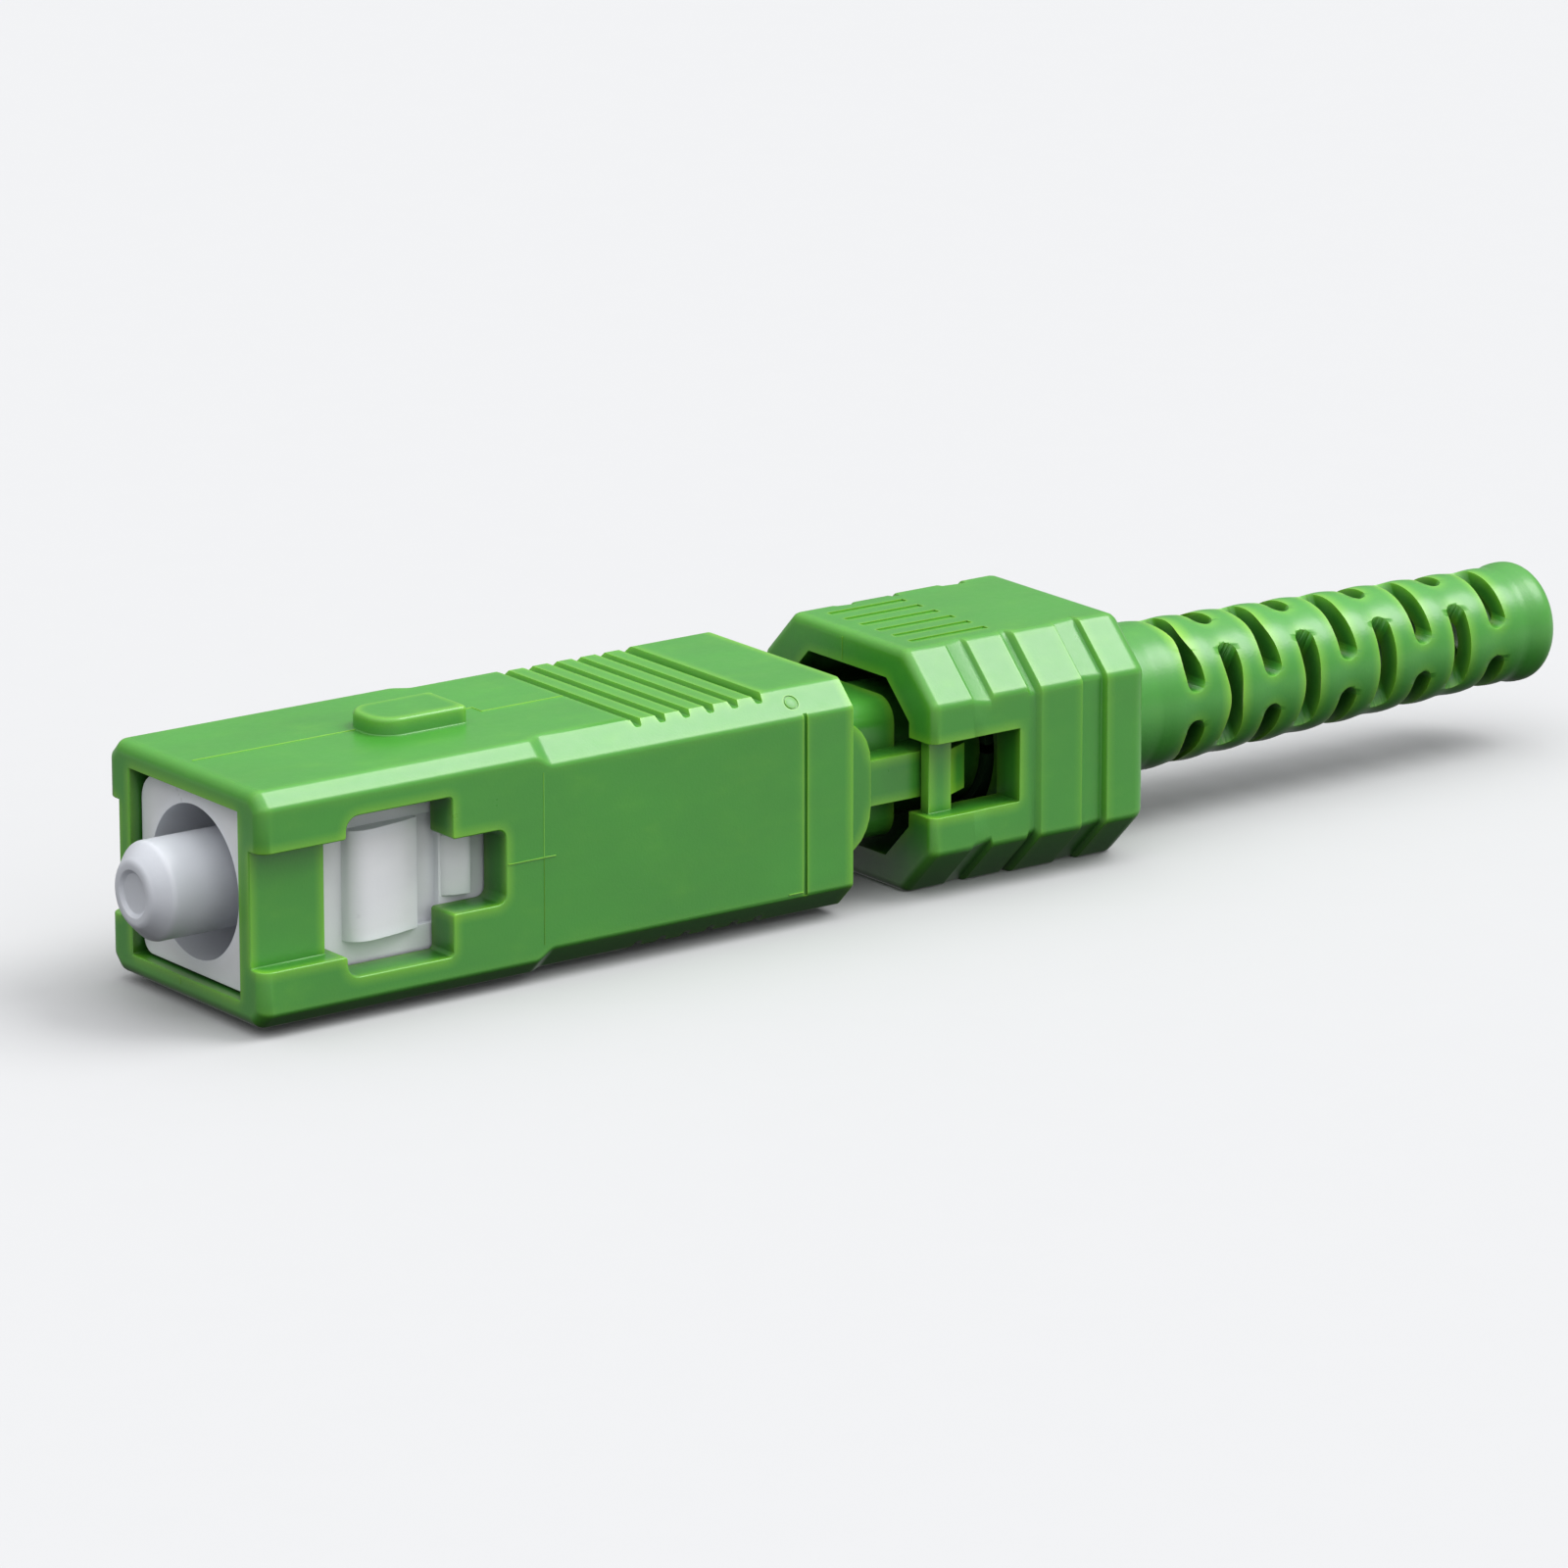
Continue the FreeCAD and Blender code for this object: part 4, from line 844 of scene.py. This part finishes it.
class CONNECTOR_OT_dust_cap(bpy.types.Operator):
    """Milky dust cap over the ferrule"""
    bl_idname = "connector.dust_cap"
    bl_label = "Dust cap"

    def execute(self, context):
        s = in_mm(context.scene.connector_cap)
        tip, outer, inner, end_wall, sunk = CAP_FRONT, CAP_RADIUS, 1.27, 0.55, 0.12
        dimple = s.dimple / 2
        profile = [(tip + sunk, 0, 0), (tip + sunk, 0, dimple - sunk), (tip, 0, dimple),
                   (tip, 0, outer - s.tip_chamfer), (tip + s.tip_chamfer, 0, outer), (CAP_REAR, 0, outer),
                   (CAP_REAR, 0, inner), (tip + end_wall, 0, inner), (tip + end_wall, 0, 0)]
        radii = [0, 0.06, 0.06, s.tip_round, s.tip_round, 0.1, 0.08, 0.15, 0]
        skin = [(x, radius) for x, _, radius in eased(profile, radii)]
        cap = smooth(lathe("cap_shell", skin, closed=False))
        place(cap, "cap", "cap_plastic", "dust_cap")
        return {"FINISHED"}


class CONNECTOR_OT_rear_body(bpy.types.Operator):
    """Rear body with its block, waist, side tongues and tail"""
    bl_idname = "connector.rear_body"
    bl_label = "Rear body"

    def execute(self, context):
        s = in_mm(context.scene.connector_body)
        block_front, block_rear, overlap = FRAME_REAR, GRIP_REAR + 0.35, 0.5
        body = prism("body_shell", rounded(block_front, s.width / 2, BODY_HALF_HEIGHT,
                                           s.corner_round, s.corner_round), (block_rear - block_front, 0, 0))
        bevel_edges(body, 0.25, lambda a, b: min(a.x, b.x) > block_rear - 0.01, 4)
        neck = prism("neck", rounded(block_rear - overlap, s.neck_width / 2, s.neck_height / 2, 0.8, 0.8),
                     (SLEEVE_FRONT - block_rear + overlap, 0, 0))
        spigot = drum("spigot", BODY_FRONT, [(block_front + overlap, 2.33)])
        tail = drum("tail", SLEEVE_FRONT - overlap, [(TAIL_REAR, 2.2)])

        # Side tongues that end in barbs, and the quarter-round gussets at their roots.
        half, side, barb_front, reach = s.tongue_thickness / 2, 3.4, 26.25, 27.1
        edge = [(block_rear - overlap, -side), (barb_front, -side), (barb_front, -BARB_SIDE), (reach, -side)]
        tongue = prism("tongues", plan(both(edge), -half), (0, 0, 2 * half))
        gusset_top, gusset_reach, gusset_root = 2.2, 1.25, 2.4
        arc = [math.radians(15 * i) for i in range(7)]
        curve = [(GRIP_REAR + gusset_reach * math.cos(a), 0.7 + 1.5 * math.sin(a)) for a in arc]
        gusset = prism("gussets", upright(
            [(GRIP_REAR - 0.3, -gusset_top), (GRIP_REAR - 0.3, gusset_top)] + both(curve[::-1]), gusset_root),
            (0, side + 0.08 - gusset_root, 0))
        combine(body, [neck, spigot, tail, tongue, mirrored(gusset, 1), gusset], "UNION")

        # Spring chamber, splice room, guide and tail, each with its end and radius.
        bores = drum("body_bores", BODY_FRONT - 1,
                     [(14.9, 2.15), (22.0, 1.7), (26.4, 1.0), (TAIL_REAR + 1, 1.3)], 64)
        combine(body, [bores])
        smooth(soften(body, s.edge_round))
        place(body, "plug_body", "green_plastic", "rear_body")
        return {"FINISHED"}


class CONNECTOR_OT_locking_sleeve(bpy.types.Operator):
    """Block behind the grip with its hood, slots, bars, grooves and ridges"""
    bl_idname = "connector.locking_sleeve"
    bl_label = "Locking sleeve"

    def execute(self, context):
        s = in_mm(context.scene.connector_sleeve)
        big_w, h = SLEEVE_HALF_WIDTH, SLEEVE_HALF_HEIGHT
        w, x0, x1 = big_w - s.step, SLEEVE_FRONT, SLEEVE_REAR

        def ring(x, half_width, side=0.0, slope=0.0, inset=0.0):
            """Outline at x with its sides and slopes let in, or all of it let in at a rounded end."""
            chamfer = s.chamfer + slope * math.sqrt(2) - side - inset * (2 - math.sqrt(2))
            return octagon(x, half_width - side - inset, h - inset, chamfer, s.long_round)

        # Place behind the front end, half width, and how far the sides and the slopes are let in there:
        # two shallow steps in the front half, the larger rear half, and the strip round it.
        sections = [ring(x0 + back, w, inset=inset) for back, inset in turned(0.3, 4)[::-1]]
        for back, half_width, side, slope in (
                (1.60, w, 0, 0), (1.72, w, 0.02, 0.07), (2.36, w, 0.03, 0.15), (2.45, w, 0.03, 0),
                (3.82, w, 0.03, 0), (3.90, w, 0.05, 0.12), (4.12, w, 0.05, 0.15),
                (4.24, big_w, 0, 0), (5.90, big_w, 0, 0), (5.97, big_w, 0.20, 0.12),
                (6.83, big_w, 0.23, 0.18), (6.90, big_w, 0, 0)):
            sections.append(ring(x0 + back, half_width, side, slope))
        sections += [ring(x1 - back, big_w, inset=inset) for back, inset in turned(0.6, 6)]
        sleeve = loft("sleeve_shell", sections)

        # Hood over the rear body, room for jaws and boot, and the slots with a bar across each.
        cavity = prism("hood", octagon(x0 - 1, 3.25, 2.9, 1.2), (4.7, 0, 0))
        bores = drum("sleeve_bores", x0 + 3, [(x1 - 1.2, 2.85), (x1 + 1, 2.53)], 128)
        half_slot = s.slot_height / 2
        slots = block("side_slots", (x0 - 1, x0 + 3.5), (-w - 1, w + 1), (-half_slot, half_slot))
        combine(sleeve, [cavity, bores, slots])
        bar = block("side_bar", (x0 + 0.3, x0 + 1.2), (3.48, 3.9), (-1.51, 1.51))
        combine(sleeve, [mirrored(bar, 1), bar], "UNION")
        soften(sleeve, s.edge_round)

        # Six fine grooves, top and bottom, and the parting line on the front.
        grooves, pitch, first_groove, groove_width, deep = 6, 0.85, -2.275, 0.275, 0.045
        groove = block("top_grooves", (x0 + 0.9, x0 + 3.9), (first_groove, first_groove + groove_width),
                       (h - deep, h + 1))
        row = copies(groove, grooves, (0, pitch, 0))
        combine(sleeve, [mirrored(row, 2), row])
        combine(sleeve, hairline([(x0, 0.25, 3.05), (x0, 0.25, h - 0.25)], (-1, 0, 0), rise=0.015), "UNION")
        smooth(soften(sleeve, 0.03, 2))
        place(sleeve, "plug_body", "green_plastic", "locking_sleeve")
        return {"FINISHED"}


class CONNECTOR_OT_boot(bpy.types.Operator):
    """Strain-relief boot with crowned rings and three slots in each row"""
    bl_idname = "connector.boot"
    bl_label = "Boot"

    def execute(self, context):
        s = in_mm(context.scene.connector_boot)
        base, tip = s.base_diameter / 2, s.tip_diameter / 2
        seat, bead = SLEEVE_REAR - 1.22, BOOT_REAR - s.bead_length
        inner, entry, flare, pitch, first = 1.3, 1.1, 0.15, 1.65, SLEEVE_REAR + 3.87
        slope = (tip - base) / (bead - SLEEVE_REAR)

        def radius(x):
            """Radius of the taper at x, with a crown between each row of slots and the next."""
            wave = 0.5 - 0.5 * math.cos(2 * math.pi * (x - first) / pitch)
            inside = first - pitch < x < first + s.rows * pitch
            return base + slope * (x - SLEEVE_REAR) + (s.crown * (wave - 0.5) if inside else 0)

        # Crowned taper, the bead with its rounded end, and the cable's entry.
        step = 0.165
        skin = [(SLEEVE_REAR + i * step, radius(SLEEVE_REAR + i * step))
                for i in range(int((bead - SLEEVE_REAR) / step) + 1)]
        skin += [(bead + 0.05 + 0.55 * t, tip + s.bead_rise * t * t * (3 - 2 * t))
                 for t in (0, 0.25, 0.5, 0.75, 1)]
        skin += [(BOOT_REAR - back, tip + s.bead_rise - inset) for back, inset in turned(s.end_round, 10)]
        mouth = [(BOOT_REAR, entry + flare), (BOOT_REAR - flare, entry), (BOOT_REAR - 2.2, entry),
                 (BOOT_REAR - 2.2, inner)]
        boot = lathe("boot_shell", [(BOOT_FRONT, inner), (BOOT_FRONT, BOOT_FLANGE_RADIUS),
                                    (seat, BOOT_FLANGE_RADIUS), (seat, base)] + skin + mouth)

        # Three slots in each row, wedges with round ends that leave webs between them; every other row is
        # turned by half the way to the next slot.
        web, reach, half, spread = 0.46, 4.0, s.slot_width / 2, math.radians(60)
        corner = web / math.sin(spread)
        rows = []
        for row in range(s.rows):
            x = first + row * pitch - half
            wedge = prism("boot_slot", [(x, corner, 0)] + [
                (x, reach * math.cos(a) + side * web * math.sin(a),
                 reach * math.sin(a) - side * web * math.cos(a))
                for side, a in ((-1, -spread), (1, spread))], (2 * half, 0, 0))
            bevel_edges(wedge, half * 0.98, lambda a, b: abs(a.x - b.x) < 0.01 and abs(a.z - b.z) > 0.5
                        and min(a.y, b.y) < 2.2, 6)
            for k in range(3):
                copy = twin(wedge)
                copy.rotation_euler = (math.radians((0 if row % 2 == 0 else 60) + 120 * k), 0, 0)
                rows.append(settle(copy))
            bpy.data.objects.remove(wedge)
        combine(boot, [joined(rows)])
        smooth(soften(boot, 0.06, 2, 40))
        place(boot, "plug_body", "boot_plastic", "boot")
        return {"FINISHED"}


class CONNECTOR_OT_spring(bpy.types.Operator):
    """Wire coil with closed ends, with a mesh of its own"""
    bl_idname = "connector.spring"
    bl_label = "Spring"

    def execute(self, context):
        s = in_mm(context.scene.connector_spring)
        front, rear = span("main_spring", 0)
        half, coil_radius, facets = s.wire / 2, s.mean_diameter / 2, 12
        start, stop = front + half, rear - half
        coils = []
        for x, run, turns in ((start, s.wire, 1), (start + s.wire, stop - start - 2 * s.wire, s.turns - 2),
                              (stop - s.wire, s.wire, 1)):
            angles = (math.radians(360 / facets * i) for i in range(facets))
            ring = finish_mesh(outline("coil", [(x + half * math.cos(a), 0, coil_radius + half * math.sin(a))
                                                for a in angles], filled=False))
            only(ring)
            sweep = ring.modifiers.new("sweep", "SCREW")
            sweep.axis = "X"
            sweep.angle = 2 * math.pi * turns
            sweep.screw_offset = run * MM
            sweep.steps = sweep.render_steps = 40 * turns
            bpy.ops.object.modifier_apply(modifier=sweep.name)
            coils.append(ring)
        spring = joined(coils)
        bpy.ops.object.mode_set(mode="EDIT")
        tidy_mesh()
        bpy.ops.mesh.select_all(action="SELECT")
        bpy.ops.mesh.fill_holes(sides=0)
        tidy_mesh()
        smooth(finish_mesh(spring))
        place(spring, "plug_body", "spring_steel", "main_spring")
        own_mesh(spring)
        return {"FINISHED"}


class CONNECTOR_OT_studio(bpy.types.Operator):
    """Pale floor, soft lights and the camera"""
    bl_idname = "connector.studio"
    bl_label = "Studio"

    def execute(self, context):
        colours = context.scene.connector_finishes
        floor_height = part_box("locking_sleeve")[0].z
        bpy.ops.mesh.primitive_plane_add(size=4.0, location=(0, 0, floor_height))
        floor = bpy.context.object
        floor.name = "floor"
        sheet = Finish("floor_paper", Roughness=0.9, Specular_IOR_Level=0.1)
        grain = sheet.noise(2.0)
        floor.data.materials.append(sheet.wear(
            Base_Color=sheet.mix(grain, shade(colours.floor, 0.995), shade(colours.floor, 1.005))))
        floor.visible_diffuse = floor.visible_glossy = False

        world = bpy.data.worlds.new("studio")
        world.use_nodes = True
        sky = Graph(world.node_tree)
        way = sky.node("ShaderNodeTexCoord", {}, {}, "Generated")
        upward = sky.node("ShaderNodeSeparateXYZ", {}, {0: way}, "Z")
        away = sky.node("ShaderNodeSeparateXYZ", {}, {0: way}, "Y")
        height = sky.node("ShaderNodeMath", {"operation": "MAXIMUM"}, {0: upward, 1: 0.0})
        above = sky.node("ShaderNodeMath", {"operation": "GREATER_THAN"}, {0: upward, 1: 0.0})
        backdrop = world.node_tree.nodes["Background"]
        backdrop.inputs["Color"].default_value = (0.975, 0.985, 1.0, 1)
        sunk = sky.node("ShaderNodeMath", {"operation": "MAXIMUM"}, {0: 1 + upward * MIRROR_FALL, 1: 0.0})
        glossy = sky.node("ShaderNodeLightPath", {}, {}, "Is Glossy Ray")
        mirrored_floor = glossy * sunk * (1 - above) * MIRROR_RIM
        level = SKY_BELOW + above * (SKY_RIM - SKY_BELOW) + height * height * SKY_TOP + mirrored_floor
        world.node_tree.links.new((level * (1 - away * SKY_NEAR)).socket, backdrop.inputs["Strength"])
        context.scene.world = world
        light = bpy.data.lights.new("softbox", "SUN")
        light.energy, light.angle = SOFTBOX_POWER, math.radians(SOFTBOX_WIDTH)
        lamp = bpy.data.objects.new("softbox", light)
        context.collection.objects.link(lamp)
        lamp.rotation_euler = (-Vector(SOFTBOX_FROM)).to_track_quat("-Z", "Y").to_euler()

        lens = bpy.data.cameras.new("camera")
        lens.lens, lens.sensor_width = FOCAL_LENGTH, 36.0
        lens.clip_start, lens.clip_end = 0.01, 10.0
        camera = bpy.data.objects.new("camera", lens)
        context.collection.objects.link(camera)
        forward = Vector(CAMERA_AIM).normalized()
        right = forward.cross(Vector((0, 0, 1))).normalized()
        up = right.cross(forward)
        turn = Matrix((right, up, -forward)).transposed().to_4x4()
        camera.matrix_world = Matrix.Translation(CAMERA_PLACE) @ turn
        context.scene.camera = camera
        context.scene.view_settings.view_transform = "Standard"
        return {"FINISHED"}


GROUPS = (("connector_grip", GripSizes), ("connector_frame", FrameSizes), ("connector_cap", CapSizes),
          ("connector_body", BodySizes), ("connector_sleeve", SleeveSizes), ("connector_boot", BootSizes),
          ("connector_spring", SpringSizes), ("connector_finishes", Finishes))
OPERATORS = (CONNECTOR_OT_finishes, CONNECTOR_OT_grip, CONNECTOR_OT_plug_frame, CONNECTOR_OT_dust_cap,
             CONNECTOR_OT_rear_body, CONNECTOR_OT_locking_sleeve, CONNECTOR_OT_boot, CONNECTOR_OT_spring,
             CONNECTOR_OT_studio)


class CONNECTOR_PT_panel(bpy.types.Panel):
    """The connector's pieces, sizes and colours"""
    bl_idname = "CONNECTOR_PT_panel"
    bl_label = "Connector"
    bl_space_type = "VIEW_3D"
    bl_region_type = "UI"
    bl_category = "Connector"

    def draw(self, context):
        for operator in OPERATORS:
            self.layout.operator(operator.bl_idname)
        for name, group in GROUPS:
            box = self.layout.box()
            for key in group.__annotations__:
                box.prop(getattr(context.scene, name), key)


def register():
    for name, group in GROUPS:
        bpy.utils.register_class(group)
        setattr(bpy.types.Scene, name, PointerProperty(type=group))
    for cls in OPERATORS + (CONNECTOR_PT_panel,):
        bpy.utils.register_class(cls)


def unregister():
    for cls in (CONNECTOR_PT_panel,) + OPERATORS[::-1]:
        bpy.utils.unregister_class(cls)
    for name, group in reversed(GROUPS):
        delattr(bpy.types.Scene, name)
        bpy.utils.unregister_class(group)


def main():
    """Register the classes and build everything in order."""
    register()
    for operator in OPERATORS:
        category, action = operator.bl_idname.split(".")
        getattr(getattr(bpy.ops, category), action)()


if __name__ == "__main__":
    main()
